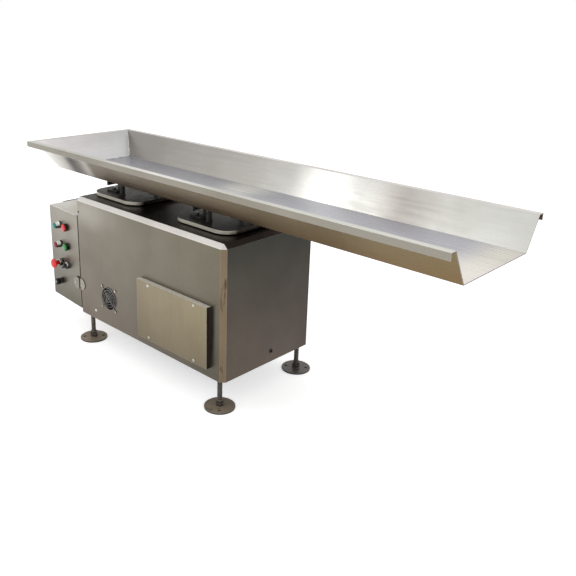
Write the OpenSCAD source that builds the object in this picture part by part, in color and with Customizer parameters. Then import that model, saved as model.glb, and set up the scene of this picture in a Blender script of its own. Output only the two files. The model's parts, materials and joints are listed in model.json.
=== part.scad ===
// Linear vibratory feeder: a folded stainless tray carried by two leaf-spring
// electromagnetic drives inside a sheet-metal cabinet with a hinged control panel.
// Millimetres, +Z up, X along the tray towards its discharge end, -Y the front.
// The origin is on the floor below the middle of the tray.

/* [Tray] */
// Length from the end flange's lip to the discharge edge
tray_l = 1840; // [1600:10:2100]
// Width of the flat floor, inside
tray_floor_w = 338; // [300:2:380]
// Height from the floor's underside to the top of the rim
tray_h = 98; // [70:1:120]
// Sideways run of each sloping side wall
side_run = 56; // [30:1:70]
// Lengthways run of the sloping end wall
end_run = 84; // [40:1:120]
// Width of the flat rim
rim_w = 22; // [14:1:30]
// Height of the lip turned down from the rim
lip_h = 20; // [8:1:30]
// Sheet thickness of the tray
tray_t = 2.5; // [1.5:0.5:4]

/* [Cabinet] */
// Length of the cabinet
cab_l = 800; // [780:5:900]
// Depth of the cabinet, front to back
cab_d = 434; // [420:2:480]
// Height of the cabinet
cab_h = 470; // [440:5:520]
// Sheet thickness of the cabinet
cab_t = 2; // [1.5:0.5:3]
// Leg of the folded chamfers
cab_chamfer = 15; // [8:1:22]
// Distance from the middle of the tray back to the middle of the cabinet
cab_shift = 233; // [150:1:320]
// Height of the cabinet's underside above the floor
foot_clear = 106; // [90:1:150]
// Space between the cabinet's top and the tray's underside
tray_gap = 77; // [60:1:100]
// Width of the flange turned in at the bottom
return_w = 12; // [8:1:13]

/* [Service cover] */
// Length of the cover
cover_l = 360; // [300:5:380]
// Height of the cover
cover_h = 217; // [180:1:240]
// How far the cover stands off the cabinet
cover_off = 18; // [12:1:25]
// Left edge of the cover from the cabinet's left end
cover_x = 382; // [340:2:400]
// Lower edge of the cover above the cabinet's underside
cover_z = 37; // [25:1:60]
// Distance of its screws from the short edges
cover_screw_in = 62; // [40:1:80]
// Distance of its screws from the long edges
cover_screw_up = 11; // [10:1:20]

/* [Fan] */
// Side of the square fan frame
fan_size = 92; // [92, 80]
// Pitch of its four screws
fan_pitch = 82.5; // [82.5, 71.5]
// Depth of the fan frame
fan_depth = 25; // [20:1:38]
// Fan centre from the cabinet's left end
fan_x = 184; // [120:1:240]
// Fan centre above the cabinet's underside
fan_z = 111; // [100:1:160]
// Number of blades
blade_count = 7; // [5, 7, 9]

/* [Lids] */
// Length of a lid, along the cabinet
lid_l = 275; // [260:1:280]
// Width of a lid
lid_w = 310; // [300:1:330]
// Corner radius of a lid
lid_r = 60; // [40:1:70]
// Height of a lid with its turned-down edge
lid_h = 12; // [9:1:20]
// Gap between the lid's edge and the cabinet's top
lid_gap = 4; // [3:0.5:6]
// Middle of the first lid from the cabinet's left end
lid_x = 137.5; // [136:0.5:150]
// Distance between the two lids' middles
lid_pitch = 475; // [440:5:500]

/* [Drives] */
// Lean of the leaf springs from upright, in degrees
lean = 22; // [15:1:25]
// Length of a spring leaf
leaf_l = 230; // [200:5:240]
// Width of a spring leaf
leaf_w = 120; // [80:5:140]
// Thickness of a spring leaf, and of the spacers between leaves
leaf_t = 3; // [2:0.5:4]
// Leaves in each pack
leaf_count = 4; // [2:1:4]
// Height of each clamp on a pack
clamp_h = 40; // [30:1:45]
// Distance between the two packs of a drive
pack_pitch = 110; // [100:1:120]
// Air gap between magnet and armature
air_gap = 3; // [2:0.5:4]
// Diameter of a rubber isolator
isolator_d = 50; // [36:2:60]
// Height of a rubber isolator
isolator_h = 45; // [30:1:55]

/* [Feet] */
// Diameter of a foot plate
foot_d = 105; // [90:1:130]
// Diameter of its threaded rod
rod_d = 16; // [12, 16, 20]
// Circle of the two floor bolts in a plate
foot_pcd = 74; // [60:1:84]
// Diameter of those holes
foot_hole_d = 11; // [8:0.5:13]
// Distance of a foot from the cabinet's end
foot_in = 36; // [34:1:60]

/* [Control box] */
// Width of the control box and its door
box_w = 230; // [220:1:260]
// Height of the control box and its door
box_h = 377; // [360:1:420]
// Depth of the control box from the cabinet's front
box_d = 300; // [260:2:360]
// Height of its underside above the cabinet's underside
box_up = 14; // [0:1:30]
// How far the door falls back towards its left edge, in degrees
door_slant = 4.2; // [0:0.1:6]
// Depth of the door's folded edges
door_fold = 16; // [14:1:25]
// Gap at the hinge side of the door
hinge_gap = 7; // [6.5:0.5:9]

/* [Controls] */
// Panel hole for the 22 mm controls
panel_hole_d = 22.3; // [22.2:0.1:22.5]
// Column nearer the hinge
col_near = 97; // [85:1:110]
// Column further from the hinge
col_far = 149; // [140:1:165]
// Height of the top row above the box's underside
row_top = 311; // [300:1:330]
// Height of the middle row
row_mid = 231; // [215:1:245]
// Height of the lower row
row_low = 154; // [140:1:165]
// Height of the speed knob
row_knob = 66; // [50:1:80]
// Speed knob from the hinge
knob_x = 168; // [150:1:180]
// Travel of the push buttons
press_travel = 4; // [2:0.5:5]
// Travel of the emergency stop
estop_travel = 6; // [4:0.5:7]

/* [Hidden] */
$fn = 64;

// Clearances
fit = 0.05;        // radial, a threaded or turned fit
slide_fit = 0.1;   // radial, a stem in its bore
seat_gap = 0.3;    // between parts that move past each other
over = 1;          // how far a cut runs past the face it opens

// Heights
cab_x0 = -cab_shift - cab_l / 2;
cab_y0 = -cab_d / 2;
cab_z0 = foot_clear;
cab_top = cab_z0 + cab_h;
tray_z0 = cab_top + tray_gap;
rim_z = tray_z0 + tray_h;

// Tray walls
floor_z = tray_z0 + tray_t;
side_slope = side_run / (tray_h - tray_t);
end_slope = end_run / (tray_h - tray_t);
half_rim = tray_floor_w / 2 + side_run;
tray_x0 = -tray_l / 2;
end_x = tray_l / 2;
rim_x0 = tray_x0 + rim_w;
floor_x0 = rim_x0 + end_run;

// Cabinet frame
frame_play = 5.5;
frame_in = cab_t + frame_play;
rail = 30;
inner_rail_w = 50;
rail_t = 3;
frame_z0 = cab_z0 + cab_t;
frame_top = frame_z0 + rail;
inner_rail_y = 85;
bush_d = rod_d + 8;
foot_y = frame_in + rail / 2;

// Feet
plate_t = 6;
plate_rim = 1;
nut_af = 1.5 * rod_d;
boss_h = 10;
lock_nut_h = 0.8 * rod_d;

// Service opening and screws
screw_d = 6;
screw_head_d = 12;
screw_head_h = 4;
screw_nut_af = 10;
screw_nut_h = 5;
cover_frame = 30;
earth_x = 95;
earth_z = 36;
cable_hole_d = 11;
cable_hole_y = 13;
cable_hole_z = 40;

// Fan
fan_bore = fan_size - 4;
fan_screw_d = 4;
hub_d = 38;
blade_t = 1.6;
blade_pitch = 38;
fan_pin_d = 4;
guard_wire = 2.4;
guard_ring_wire = 2;
guard_rings = [13, 23, 33, 43];

// Lid hardware, measured from the middle of a lid
opening_l = 225;
opening_w = 255;
opening_r = 40;
collar_h = 8;
lid_t = 2;
lid_z = cab_top + lid_gap;
lid_top = lid_z + lid_h;
bracket_x = -42;
bracket_t = 6;
bracket_reach = 143;
bracket_bar_h = 26;
leg_y = 88;
leg_w = 14;
foot_l = 54;
foot_w = 44;
bolt_d = 8;
bolt_af = 13;
bolt_x = [-75, -51];
bolt_depth = 16;
sleeve_x = 0;
sleeve_y = 105;
sleeve_d = 20;
stud_d = 12;
stud_af = 19;
washer_d = 26;
washer_t = 2;
sleeve_l = 28;
stud_nut_h = 10;

// Drives
leaf_gap_l = leaf_l - clamp_h;
pack_t = (2 * leaf_count - 1) * leaf_t;
base_t = 20;
base_z = frame_top + isolator_h;
clamp_t = 10;
clamp_w = leaf_w + 10;
pack_z = base_z + base_t + 4 + leaf_l / 2 * cos(lean) + pack_t / 2 * sin(lean);
top_z = pack_z + leaf_l / 2 * cos(lean) + pack_t / 2 * sin(lean) + 4;
clamp_shift = leaf_gap_l / 2 * sin(lean);
plate_w = 250;
core_u = 33;
core_v = 80;
core_w = 60;
yoke_t = 18;
isolator_x = [-75, 100];

// Control box
box_z = cab_z0 + box_up;
box_t = 2;
door_gap = 0.8;
flange_w = 12;
wire_hole_d = 50;
wire_hole_y = 180;
wire_hole_z = 180;
hinge_z = cab_z0 + 122;
hinge_x = cab_x0 - hinge_gap / 2;
knuckle_d = 6;
knuckle_l = 12;
hinge_pin_d = 3;
leaf_round = 18;
leaf_plate_t = 1.5;
ear_t = 3;
ear_d = 6.4;
ear_l = 22;
catch_nose = 12;
catch_body = 20;
catch_h = 40;
side_screw_y = 44;
side_screw_drop = 12;
handle_d = 10;
handle_l = 110;
handle_off = 30;
handle_y = 150;
handle_drop = 11;

// Controls
bezel_d = 29.5;
barrel_d = 22;
barrel_l = 22;
stem_d = 10;
cap_d = 23;
cap_h = 7;
bezel_floor = 1;
block_w = 30;
block_h = 42;
block_l = 36;
ring_nut_d = 28;
ring_nut_h = 4;
bush_thread_d = 9.5;

// ---------------------------------------------------------------- shared forms

// Rounded rectangle centred on the origin
module rounded_rect(l, w, r) {
    square([l - 2 * r, w], center = true);
    square([l, w - 2 * r], center = true);
    for (x = [-1, 1], y = [-1, 1])
        translate([x * (l / 2 - r), y * (w / 2 - r)]) circle(r);
}

// Hexagon across flats, standing on z = 0
module hex(af, h) {
    cylinder(d = af / cos(30), h = h, $fn = 6);
}

// Domed screw: head above z = 0, shank below
module dome_screw(head_d, head_h, shank_d, shank_l) {
    ball_r = (head_d * head_d / 4 + head_h * head_h) / (2 * head_h);
    intersection() {
        translate([0, 0, head_h - ball_r]) sphere(ball_r);
        cylinder(d = head_d, h = head_h);
    }
    translate([0, 0, -shank_l]) cylinder(d = shank_d, h = shank_l);
}

// Turns +Z to face the front
module face_front() {
    rotate([90, 0, 0]) children();
}

// ---------------------------------------------------------------- cabinet

// Plan of the cabinet with its right-hand corners cut off
module cab_plan(l, d, c) {
    polygon([[0, 0], [l - c, 0], [l, c], [l, d - c], [l - c, d], [0, d]]);
}

// Cuts the tip where three chamfers meet, as a mitred facet
module corner_facet(c) {
    rotate([0, 0, -45]) rotate([0, -atan(1 / sqrt(2)), 0])
        translate([0, -2 * c, -2 * c]) cube([2 * c, 4 * c, 4 * c]);
}

// Closed form of the cabinet with chamfered front, right and rear edges
module hood_form(l, d, h, c) {
    difference() {
        intersection() {
            linear_extrude(h) cab_plan(l, d, c);
            translate([0, d, 0]) rotate([90, 0, 0]) linear_extrude(d)
                polygon([[0, 0], [l, 0], [l, h - c], [l - c, h], [0, h]]);
            rotate([90, 0, 90]) linear_extrude(l)
                polygon([[0, 0], [d, 0], [d, h - c], [d - c, h], [c, h], [0, h - c]]);
        }
        translate([l - c, 0, h - c]) corner_facet(c);
        translate([l - c, d, h - c]) mirror([0, 1, 0]) corner_facet(c);
    }
}

// Places children at each lid's middle
module at_drives() {
    for (i = [0, 1]) at_drive(i) children();
}

module at_drive(i) {
    translate([cab_x0 + lid_x + i * lid_pitch, 0, 0]) children();
}

module at_cover_screws() {
    for (x = [cover_screw_in, cover_l - cover_screw_in], z = [cover_screw_up, cover_h - cover_screw_up])
        translate([cab_x0 + cover_x + x, cab_y0, cab_z0 + cover_z + z]) children();
}

module at_fan() {
    translate([cab_x0 + fan_x, cab_y0, cab_z0 + fan_z]) children();
}

module at_fan_screws() {
    at_fan() for (x = [-1, 1], z = [-1, 1])
        translate([x * fan_pitch / 2, 0, z * fan_pitch / 2]) children();
}

module wire_hole() {
    translate([cab_x0 - box_t - over, cab_y0 + wire_hole_y, box_z + wire_hole_z]) rotate([0, 90, 0])
        cylinder(d = wire_hole_d, h = cab_t + box_t + 2 * over);
}

module cabinet_hood() {
    inner_c = cab_chamfer - (2 - sqrt(2)) * cab_t;
    color("silver") difference() {
        union() {
            translate([cab_x0, cab_y0, cab_z0]) difference() {
                hood_form(cab_l, cab_d, cab_h, cab_chamfer);
                translate([cab_t, cab_t, -over])
                    hood_form(cab_l - 2 * cab_t, cab_d - 2 * cab_t, cab_h - cab_t + over, inner_c);
            }
            // flange turned in along the bottom
            translate([cab_x0, cab_y0, cab_z0]) linear_extrude(cab_t) difference() {
                cab_plan(cab_l, cab_d, cab_chamfer);
                translate([cab_t + return_w, cab_t + return_w])
                    square([cab_l - 2 * (cab_t + return_w), cab_d - 2 * (cab_t + return_w)]);
            }
            // collars round the two top openings
            at_drives() translate([0, 0, cab_top - cab_t]) linear_extrude(cab_t + collar_h)
                rounded_rect(opening_l, opening_w, opening_r);
        }
        at_drives() translate([0, 0, cab_top - cab_t - over]) linear_extrude(cab_t + collar_h + 2 * over)
            rounded_rect(opening_l - 2 * cab_t, opening_w - 2 * cab_t, opening_r - cab_t);
        // service opening behind the cover
        translate([cab_x0 + cover_x + cover_frame, cab_y0 - over, cab_z0 + cover_z + cover_frame])
            cube([cover_l - 2 * cover_frame, cab_t + 2 * over, cover_h - 2 * cover_frame]);
        at_cover_screws() translate([0, cab_t + over, 0]) face_front()
            cylinder(r = screw_d / 2 + fit, h = cab_t + 2 * over);
        translate([cab_x0 + earth_x, cab_y0 + cab_t + over, cab_z0 + earth_z]) face_front()
            cylinder(r = screw_d / 2 + fit, h = cab_t + 2 * over);
        at_fan() translate([0, cab_t + over, 0]) face_front() cylinder(d = fan_bore, h = cab_t + 2 * over);
        at_fan_screws() translate([0, cab_t + over, 0]) face_front()
            cylinder(r = fan_screw_d / 2 + fit, h = cab_t + 2 * over);
        wire_hole();
        // cable hole in the right-hand end
        translate([cab_x0 + cab_l - cab_t - over, cable_hole_y, cab_z0 + cable_hole_z]) rotate([0, 90, 0])
            cylinder(d = cable_hole_d, h = cab_t + 2 * over);
    }
}

// One hollow rail of the base frame along X
module rail_x(x0, x1, y, w) {
    difference() {
        translate([x0, y - w / 2, frame_z0]) cube([x1 - x0, w, rail]);
        translate([x0 + rail_t, y - w / 2 + rail_t, frame_z0 + rail_t])
            cube([x1 - x0 - 2 * rail_t, w - 2 * rail_t, rail - 2 * rail_t]);
    }
}

// Places children over each foot; order is front left, front right, rear left, rear right
module at_foot(i) {
    x = i % 2 == 0 ? cab_x0 + foot_in : cab_x0 + cab_l - foot_in;
    y = i < 2 ? cab_y0 + foot_y : -cab_y0 - foot_y;
    translate([x, y, 0]) children();
}

module base_frame() {
    x0 = cab_x0 + frame_in;
    x1 = cab_x0 + cab_l - frame_in;
    long_y = -cab_y0 - frame_in - rail / 2;
    color("dimgray") difference() {
        union() {
            intersection() {
                union() {
                    for (s = [-1, 1]) {
                        rail_x(x0, x1, s * long_y, rail);
                        rail_x(x0, x1, s * inner_rail_y, inner_rail_w);
                    }
                    for (x = [x0, x1 - rail]) difference() {
                        translate([x, -long_y - rail / 2, frame_z0]) cube([rail, 2 * long_y + rail, rail]);
                        translate([x + rail_t, -long_y - rail / 2 + rail_t, frame_z0 + rail_t])
                            cube([rail - 2 * rail_t, 2 * long_y + rail - 2 * rail_t, rail - 2 * rail_t]);
                    }
                }
                translate([x0, cab_y0 + frame_in, 0]) linear_extrude(frame_top + over)
                    cab_plan(x1 - x0, cab_d - 2 * frame_in, cab_chamfer);
            }
            for (i = [0:3]) at_foot(i) translate([0, 0, frame_z0]) cylinder(d = bush_d, h = rail);
        }
        for (i = [0:3]) at_foot(i) translate([0, 0, frame_z0 - over])
            cylinder(r = rod_d / 2 + fit, h = rail + 2 * over);
    }
}

// Levelling foot: a bossed plate with its rod; turn swings its two holes
module foot(turn) {
    color("gray") difference() {
        union() {
            rotate_extrude() polygon([
                [0, 0], [foot_d / 2, 0], [foot_d / 2, plate_t - plate_rim],
                [foot_d / 2 - plate_rim, plate_t], [0, plate_t]
            ]);
            translate([0, 0, plate_t]) rotate(turn) hex(nut_af, boss_h);
            cylinder(d = rod_d, h = frame_top);
        }
        for (a = [0, 180]) rotate(turn + a) translate([foot_pcd / 2, 0, -over])
            cylinder(d = foot_hole_d, h = plate_t + 2 * over);
    }
}

module foot_front_left() { at_foot(0) foot(53); }
module foot_front_right() { at_foot(1) foot(-45); }
module foot_rear_left() { at_foot(2) foot(10); }
module foot_rear_right() { at_foot(3) foot(32); }

module foot_lock_nuts() {
    color("gray") for (i = [0:3]) at_foot(i) translate([0, 0, plate_t + boss_h]) difference() {
        rotate(15) hex(nut_af, lock_nut_h);
        translate([0, 0, -over]) cylinder(r = rod_d / 2 + fit, h = lock_nut_h + 2 * over);
    }
}

module service_cover() {
    color("silver") difference() {
        translate([cab_x0 + cover_x, cab_y0 - cover_off, cab_z0 + cover_z]) difference() {
            cube([cover_l, cover_off, cover_h]);
            translate([cab_t, cab_t, cab_t]) cube([cover_l - 2 * cab_t, cover_off, cover_h - 2 * cab_t]);
        }
        at_cover_screws() face_front() cylinder(r = screw_d / 2 + slide_fit, h = cover_off + over);
    }
}

// Domed screws with their nuts: four in the cover, the earth screw, one in the control box's side
module case_screws() {
    color("gainsboro") {
        at_cover_screws() translate([0, -cover_off, 0]) face_front() nutted_screw(cover_off + cab_t);
        translate([cab_x0 + earth_x, cab_y0, cab_z0 + earth_z]) face_front() nutted_screw(cab_t);
        at_side_screw() rotate([0, -90, 0]) nutted_screw(box_t);
    }
}

// Domed screw under its head at z = 0, with a nut behind the sheets it grips
module nutted_screw(grip) {
    dome_screw(screw_head_d, screw_head_h, screw_d, grip + screw_nut_h + 0.3);
    translate([0, 0, -grip - screw_nut_h]) hex(screw_nut_af, screw_nut_h);
}

module at_side_screw() {
    translate([cab_x0 - box_w, cab_y0 + side_screw_y, box_z + box_h - side_screw_drop]) children();
}

// ---------------------------------------------------------------- fan

module fan_guard() {
    color("silver") at_fan() face_front() {
        for (a = [0, 90]) rotate(45 + a) translate([0, 0, guard_wire / 2]) rotate([0, 90, 0])
            cylinder(d = guard_wire, h = fan_pitch * sqrt(2) - 8, center = true, $fn = 24);
        for (r = guard_rings) translate([0, 0, guard_wire + guard_ring_wire / 2 - 0.4])
            rotate_extrude() translate([r, 0]) circle(d = guard_ring_wire, $fn = 24);
        for (x = [-1, 1], y = [-1, 1]) translate([x * fan_pitch / 2, y * fan_pitch / 2, 0]) difference() {
            cylinder(d = 10, h = guard_wire);
            translate([0, 0, -over]) cylinder(r = fan_screw_d / 2 + fit, h = guard_wire + 2 * over);
        }
    }
}

// Square fan housing with a motor boss on four stays at the back
module fan_frame() {
    back = cab_t + fan_depth;
    color([0.1, 0.1, 0.1]) at_fan() face_front() difference() {
        union() {
            difference() {
                translate([-fan_size / 2, -fan_size / 2, -back]) cube([fan_size, fan_size, fan_depth]);
                translate([0, 0, -back - over]) cylinder(d = fan_bore, h = fan_depth + 2 * over);
            }
            translate([0, 0, -back]) cylinder(d = hub_d, h = 4);
            for (a = [0:90:270]) rotate(a + 20) translate([0, -2, -back])
                cube([fan_size / 2 - 1, 4, 4]);
        }
        translate([0, 0, -back + 1]) cylinder(r = fan_pin_d / 2 + fit, h = fan_depth);
        for (x = [-1, 1], y = [-1, 1]) translate([x * fan_pitch / 2, y * fan_pitch / 2, -back - over])
            cylinder(r = fan_screw_d / 2 + fit, h = fan_depth + 2 * over);
    }
}

// Hub, pitched blades and spindle, turning in the motor boss
module fan_rotor() {
    back = cab_t + fan_depth;
    rotor_z = -back + 4 + seat_gap;
    rotor_h = fan_depth - 4 - seat_gap - 2;
    color([0.15, 0.15, 0.15]) at_fan() face_front() {
        translate([0, 0, rotor_z]) cylinder(d = hub_d, h = rotor_h);
        translate([0, 0, -back + 1 + seat_gap]) cylinder(d = fan_pin_d, h = 6);
        translate([0, 0, rotor_z + rotor_h / 2]) intersection() {
            for (i = [0:blade_count - 1]) rotate(i * 360 / blade_count)
                rotate([blade_pitch, 0, 0]) translate([0, -rotor_h, -blade_t / 2])
                    cube([fan_size / 2, 2 * rotor_h, blade_t]);
            cylinder(d = fan_bore - 3, h = rotor_h, center = true);
        }
    }
}

module fan_screws() {
    grip = guard_wire + cab_t + fan_depth;
    color("gainsboro") at_fan_screws() translate([0, -guard_wire, 0]) face_front() {
        dome_screw(8, 2.6, fan_screw_d, grip + 5);
        translate([0, 0, -grip - 3]) hex(7, 3);
    }
}

// ---------------------------------------------------------------- control box

// Frame of the door: origin on the hinge axis, +X to the hinge side, -Y outwards
module door_frame() {
    translate([hinge_x, cab_y0, 0]) rotate([0, 0, -door_slant]) children();
}

// How far a face lying depth behind the door's plane is from the cabinet's front, at x
function behind_door(x, depth) = depth / cos(door_slant) - (x + hinge_gap / 2) * tan(door_slant);

// Plan of the box behind the door, kept back from its walls by inset
module box_plan(inset) {
    depth = door_fold + door_gap + inset;
    left = -box_w + inset;
    right = -inset;
    polygon([
        [right, behind_door(right, depth)],
        [left, behind_door(left, depth)],
        [left, box_d - inset],
        [right, box_d - inset]
    ]);
}

module control_box() {
    color("silver") difference() {
        translate([cab_x0, cab_y0, box_z]) {
            difference() {
                linear_extrude(box_h) box_plan(0);
                translate([0, 0, box_t]) linear_extrude(box_h - 2 * box_t) box_plan(box_t);
                // mouth of the box, leaving a flange behind the door
                translate([-box_w + flange_w, 0, flange_w])
                    cube([box_w - 2 * flange_w, box_d / 2, box_h - 2 * flange_w]);
            }
        }
        wire_hole();
        at_side_screw() rotate([0, 90, 0])
            translate([0, 0, -over]) cylinder(r = screw_d / 2 + fit, h = box_t + 2 * over);
    }
}

module box_handle() {
    z = box_z + box_h - handle_drop;
    bend = 12;
    color([0.08, 0.08, 0.08])
        translate([cab_x0 - box_w, cab_y0 + handle_y, z]) rotate([0, 0, 90]) {
            for (s = [-1, 1]) scale([s, 1, 1]) {
                translate([-handle_l / 2, 0, 0]) rotate([-90, 0, 0])
                    cylinder(d = handle_d, h = handle_off - bend);
                translate([-handle_l / 2 + bend, handle_off - bend, 0]) rotate(90)
                    rotate_extrude(angle = 90) translate([bend, 0]) circle(d = handle_d);
                translate([-handle_l / 2, 0, 0]) rotate([-90, 0, 0]) cylinder(d = 18, h = 3);
            }
            translate([-handle_l / 2 + bend, handle_off, 0]) rotate([0, 90, 0])
                cylinder(d = handle_d, h = handle_l - 2 * bend);
        }
}

// Back plate of the control gear on four spacers
module mounting_plate() {
    margin = 20;
    spacer = 18;
    w = box_w - 2 * margin;
    h = box_h - 2 * margin;
    color("whitesmoke") translate([cab_x0 - box_w + margin, cab_y0 + box_d - box_t, box_z + margin]) {
        translate([0, -spacer - 2, 0]) cube([w, 2, h]);
        for (x = [12, w - 12], z = [12, h - 12]) translate([x, 0, z]) face_front()
            cylinder(d = 10, h = spacer);
    }
}

// Finned vibration controller screwed to the mounting plate
module vibration_controller() {
    w = 140;
    h = 220;
    depth = 80;
    fin = 3;
    color("darkslategray")
        translate([cab_x0 - box_w / 2 - w / 2, cab_y0 + box_d - box_t - 20 - depth, box_z + 80]) difference() {
            cube([w, depth, h]);
            for (x = [fin:3 * fin:w - 2 * fin]) translate([x, -over, -over])
                cube([2 * fin, 15 + over, h + 2 * over]);
        }
}

// Magnetic catch behind the box's left flange, its nose reaching to the door's sheet
module door_catch() {
    wall_x = -box_w + box_t;
    nose_x = -box_w + flange_w + 1;
    end_x = nose_x + catch_nose;
    flange_back = behind_door(wall_x, door_fold + door_gap + box_t);
    back = flange_back + catch_body;
    color("black") translate([cab_x0, cab_y0, box_z + (box_h - catch_h) / 2]) linear_extrude(catch_h) polygon([
        [wall_x, flange_back], [nose_x, flange_back],
        [nose_x, behind_door(nose_x, box_t + seat_gap)], [end_x, behind_door(end_x, box_t + seat_gap)],
        [end_x, back], [wall_x, back]
    ]);
}

// Folded door pan with its control holes and the ear of its top pivot
module control_door() {
    w = box_w - hinge_gap / 2;
    right = -hinge_gap / 2;
    color("silver") door_frame() difference() {
        union() {
            difference() {
                translate([-w, 0, box_z]) cube([w + right, door_fold, box_h]);
                translate([-w + box_t, box_t, box_z + box_t])
                    cube([w + right - 2 * box_t, door_fold, box_h - 2 * box_t]);
            }
            translate([0, 0, box_z + box_h]) {
                cylinder(d = ear_d, h = ear_t);
                translate([right - ear_l, 0, 0]) cube([ear_l - right, ear_d / 2, ear_t]);
            }
        }
        for (z = [row_top, row_mid, row_low], x = [col_near, col_far])
            translate([-x, box_t + over, box_z + z]) face_front() cylinder(d = panel_hole_d, h = box_t + 2 * over);
        translate([-knob_x, box_t + over, box_z + row_knob]) face_front()
            cylinder(r = bush_thread_d / 2 + slide_fit, h = box_t + 2 * over);
        translate([0, 0, box_z + box_h - over]) cylinder(r = hinge_pin_d / 2 + slide_fit, h = ear_t + 2 * over);
    }
}

// Half-round hinge plate lying against the face y = 0, to the right of x = start
module half_round_plate(start) {
    translate([start, 0, 0]) face_front() intersection() {
        cylinder(r = leaf_round, h = leaf_plate_t);
        translate([0, -leaf_round, -over]) cube([leaf_round, 2 * leaf_round, leaf_plate_t + 2 * over]);
    }
}

// One knuckle with the strap that joins it to a plate starting at x = start
module knuckle(start, z) {
    difference() {
        union() {
            translate([0, 0, z]) cylinder(d = knuckle_d, h = knuckle_l - seat_gap);
            translate([0, -leaf_plate_t, z]) cube([start + 1, leaf_plate_t, knuckle_l - seat_gap]);
        }
        translate([0, 0, z - over]) cylinder(r = hinge_pin_d / 2 + slide_fit, h = knuckle_l + 2 * over);
    }
}

module door_hinge_leaf() {
    color("gainsboro") door_frame() translate([0, 0, hinge_z]) mirror([1, 0, 0]) {
        half_round_plate(hinge_gap / 2);
        knuckle(hinge_gap / 2, -knuckle_l / 2 + seat_gap / 2);
    }
}

module cabinet_hinge_leaf() {
    color("gainsboro") translate([hinge_x, cab_y0, hinge_z]) {
        half_round_plate(hinge_gap / 2);
        for (z = [-1.5, 0.5]) knuckle(hinge_gap / 2, z * knuckle_l + seat_gap / 2);
    }
}

module hinge_pin() {
    color("gray") translate([hinge_x, cab_y0, hinge_z - 1.5 * knuckle_l])
        cylinder(d = hinge_pin_d, h = 3 * knuckle_l);
}

// Bracket on the cabinet's end whose pin holds the door's ear
module pivot_bracket() {
    pin_l = ear_t + 2 * seat_gap;
    color("gray") translate([hinge_x, cab_y0, box_z + box_h + ear_t + seat_gap]) {
        cylinder(d = ear_d, h = ear_t);
        translate([0, 0, seat_gap - pin_l]) cylinder(d = hinge_pin_d, h = pin_l);
        translate([-hinge_gap / 2, 0, 0]) cube([hinge_gap, ear_l, ear_t]);
    }
}

// ---------------------------------------------------------------- controls

// Places a control on the door: +Z outwards, z = 0 on the door's face
module on_door(x, z) {
    door_frame() translate([-x, 0, box_z + z]) face_front() children();
}

// Turned bezel with a threaded barrel through the panel
module bezel(h, bore, bore_z) {
    edge = 1.5;
    difference() {
        union() {
            rotate_extrude() polygon([
                [0, 0], [bezel_d / 2, 0], [bezel_d / 2, h - edge], [bezel_d / 2 - edge, h], [0, h]
            ]);
            translate([0, 0, -barrel_l]) cylinder(d = barrel_d, h = barrel_l + over);
        }
        translate([0, 0, bore_z]) cylinder(d = bore, h = h - bore_z + over);
        translate([0, 0, -barrel_l - over]) cylinder(r = stem_d / 2 + slide_fit, h = barrel_l + h + 2 * over);
    }
}

// Push-button housing, open for its cap
module button_housing() {
    bezel(10, cap_d + 2 * seat_gap, bezel_floor);
}

// Push-button cap with its stem; its underside keeps clear of the housing when pressed
module button_cap() {
    under = bezel_floor + press_travel + seat_gap;
    rim = under + cap_h;
    stem_z = -barrel_l + press_travel + seat_gap;
    dome = 2.5;
    ball_r = (cap_d * cap_d / 4 + dome * dome) / (2 * dome);
    translate([0, 0, under]) cylinder(d = cap_d, h = cap_h);
    intersection() {
        translate([0, 0, rim + dome - ball_r]) sphere(ball_r);
        translate([0, 0, rim]) cylinder(d = cap_d, h = dome);
    }
    translate([0, 0, stem_z]) cylinder(d = stem_d, h = under - stem_z + over);
}

module start_housing() { color([0.08, 0.08, 0.08]) on_door(col_near, row_mid) button_housing(); }
module start_cap() { color("green") on_door(col_near, row_mid) button_cap(); }
module stop_housing() { color([0.08, 0.08, 0.08]) on_door(col_near, row_top) button_housing(); }
module stop_cap() { color("red") on_door(col_near, row_top) button_cap(); }

module lamp_bezel() {
    bezel(8, barrel_d, 1);
}

// Domed lens seated in its bezel
module lamp_lens() {
    lens_d = barrel_d - 2 * fit;
    dome = 5;
    ball_r = (lens_d * lens_d / 4 + dome * dome) / (2 * dome);
    translate([0, 0, 1]) cylinder(d = lens_d, h = 14);
    intersection() {
        translate([0, 0, 15 + dome - ball_r]) sphere(ball_r);
        translate([0, 0, 15]) cylinder(d = lens_d, h = dome);
    }
}

module power_lamp_bezel() { color("silver") on_door(col_far, row_top) lamp_bezel(); }
module power_lamp_lens() { color("teal") on_door(col_far, row_top) lamp_lens(); }
module fault_lamp_bezel() { color("silver") on_door(col_far, row_mid) lamp_bezel(); }
module fault_lamp_lens() { color("maroon") on_door(col_far, row_mid) lamp_lens(); }

module estop_collar() {
    color("silver") on_door(col_far, row_low) bezel(9, 18 + 2 * slide_fit, 0);
}

// Mushroom head on its neck
module estop_head() {
    neck_z = estop_travel + 1;
    head_z = 9 + estop_travel + 5;
    color("red") on_door(col_far, row_low) {
        translate([0, 0, neck_z]) cylinder(d = 18, h = head_z - neck_z + 1);
        translate([0, 0, -barrel_l + estop_travel + 1]) cylinder(d = stem_d, h = barrel_l);
        rotate_extrude() intersection() {
            translate([0, head_z]) square([20, 15]);
            union() {
                translate([0, head_z]) square([17, 13]);
                translate([16, head_z + 5]) circle(4);
                translate([0, head_z + 14 - 72]) circle(72, $fn = 180);
            }
            translate([0, head_z + 14 - 72]) circle(72, $fn = 180);
        }
    }
}

module selector_collar() {
    color("silver") on_door(col_near, row_low) bezel(8, 21, 2);
}

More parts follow.
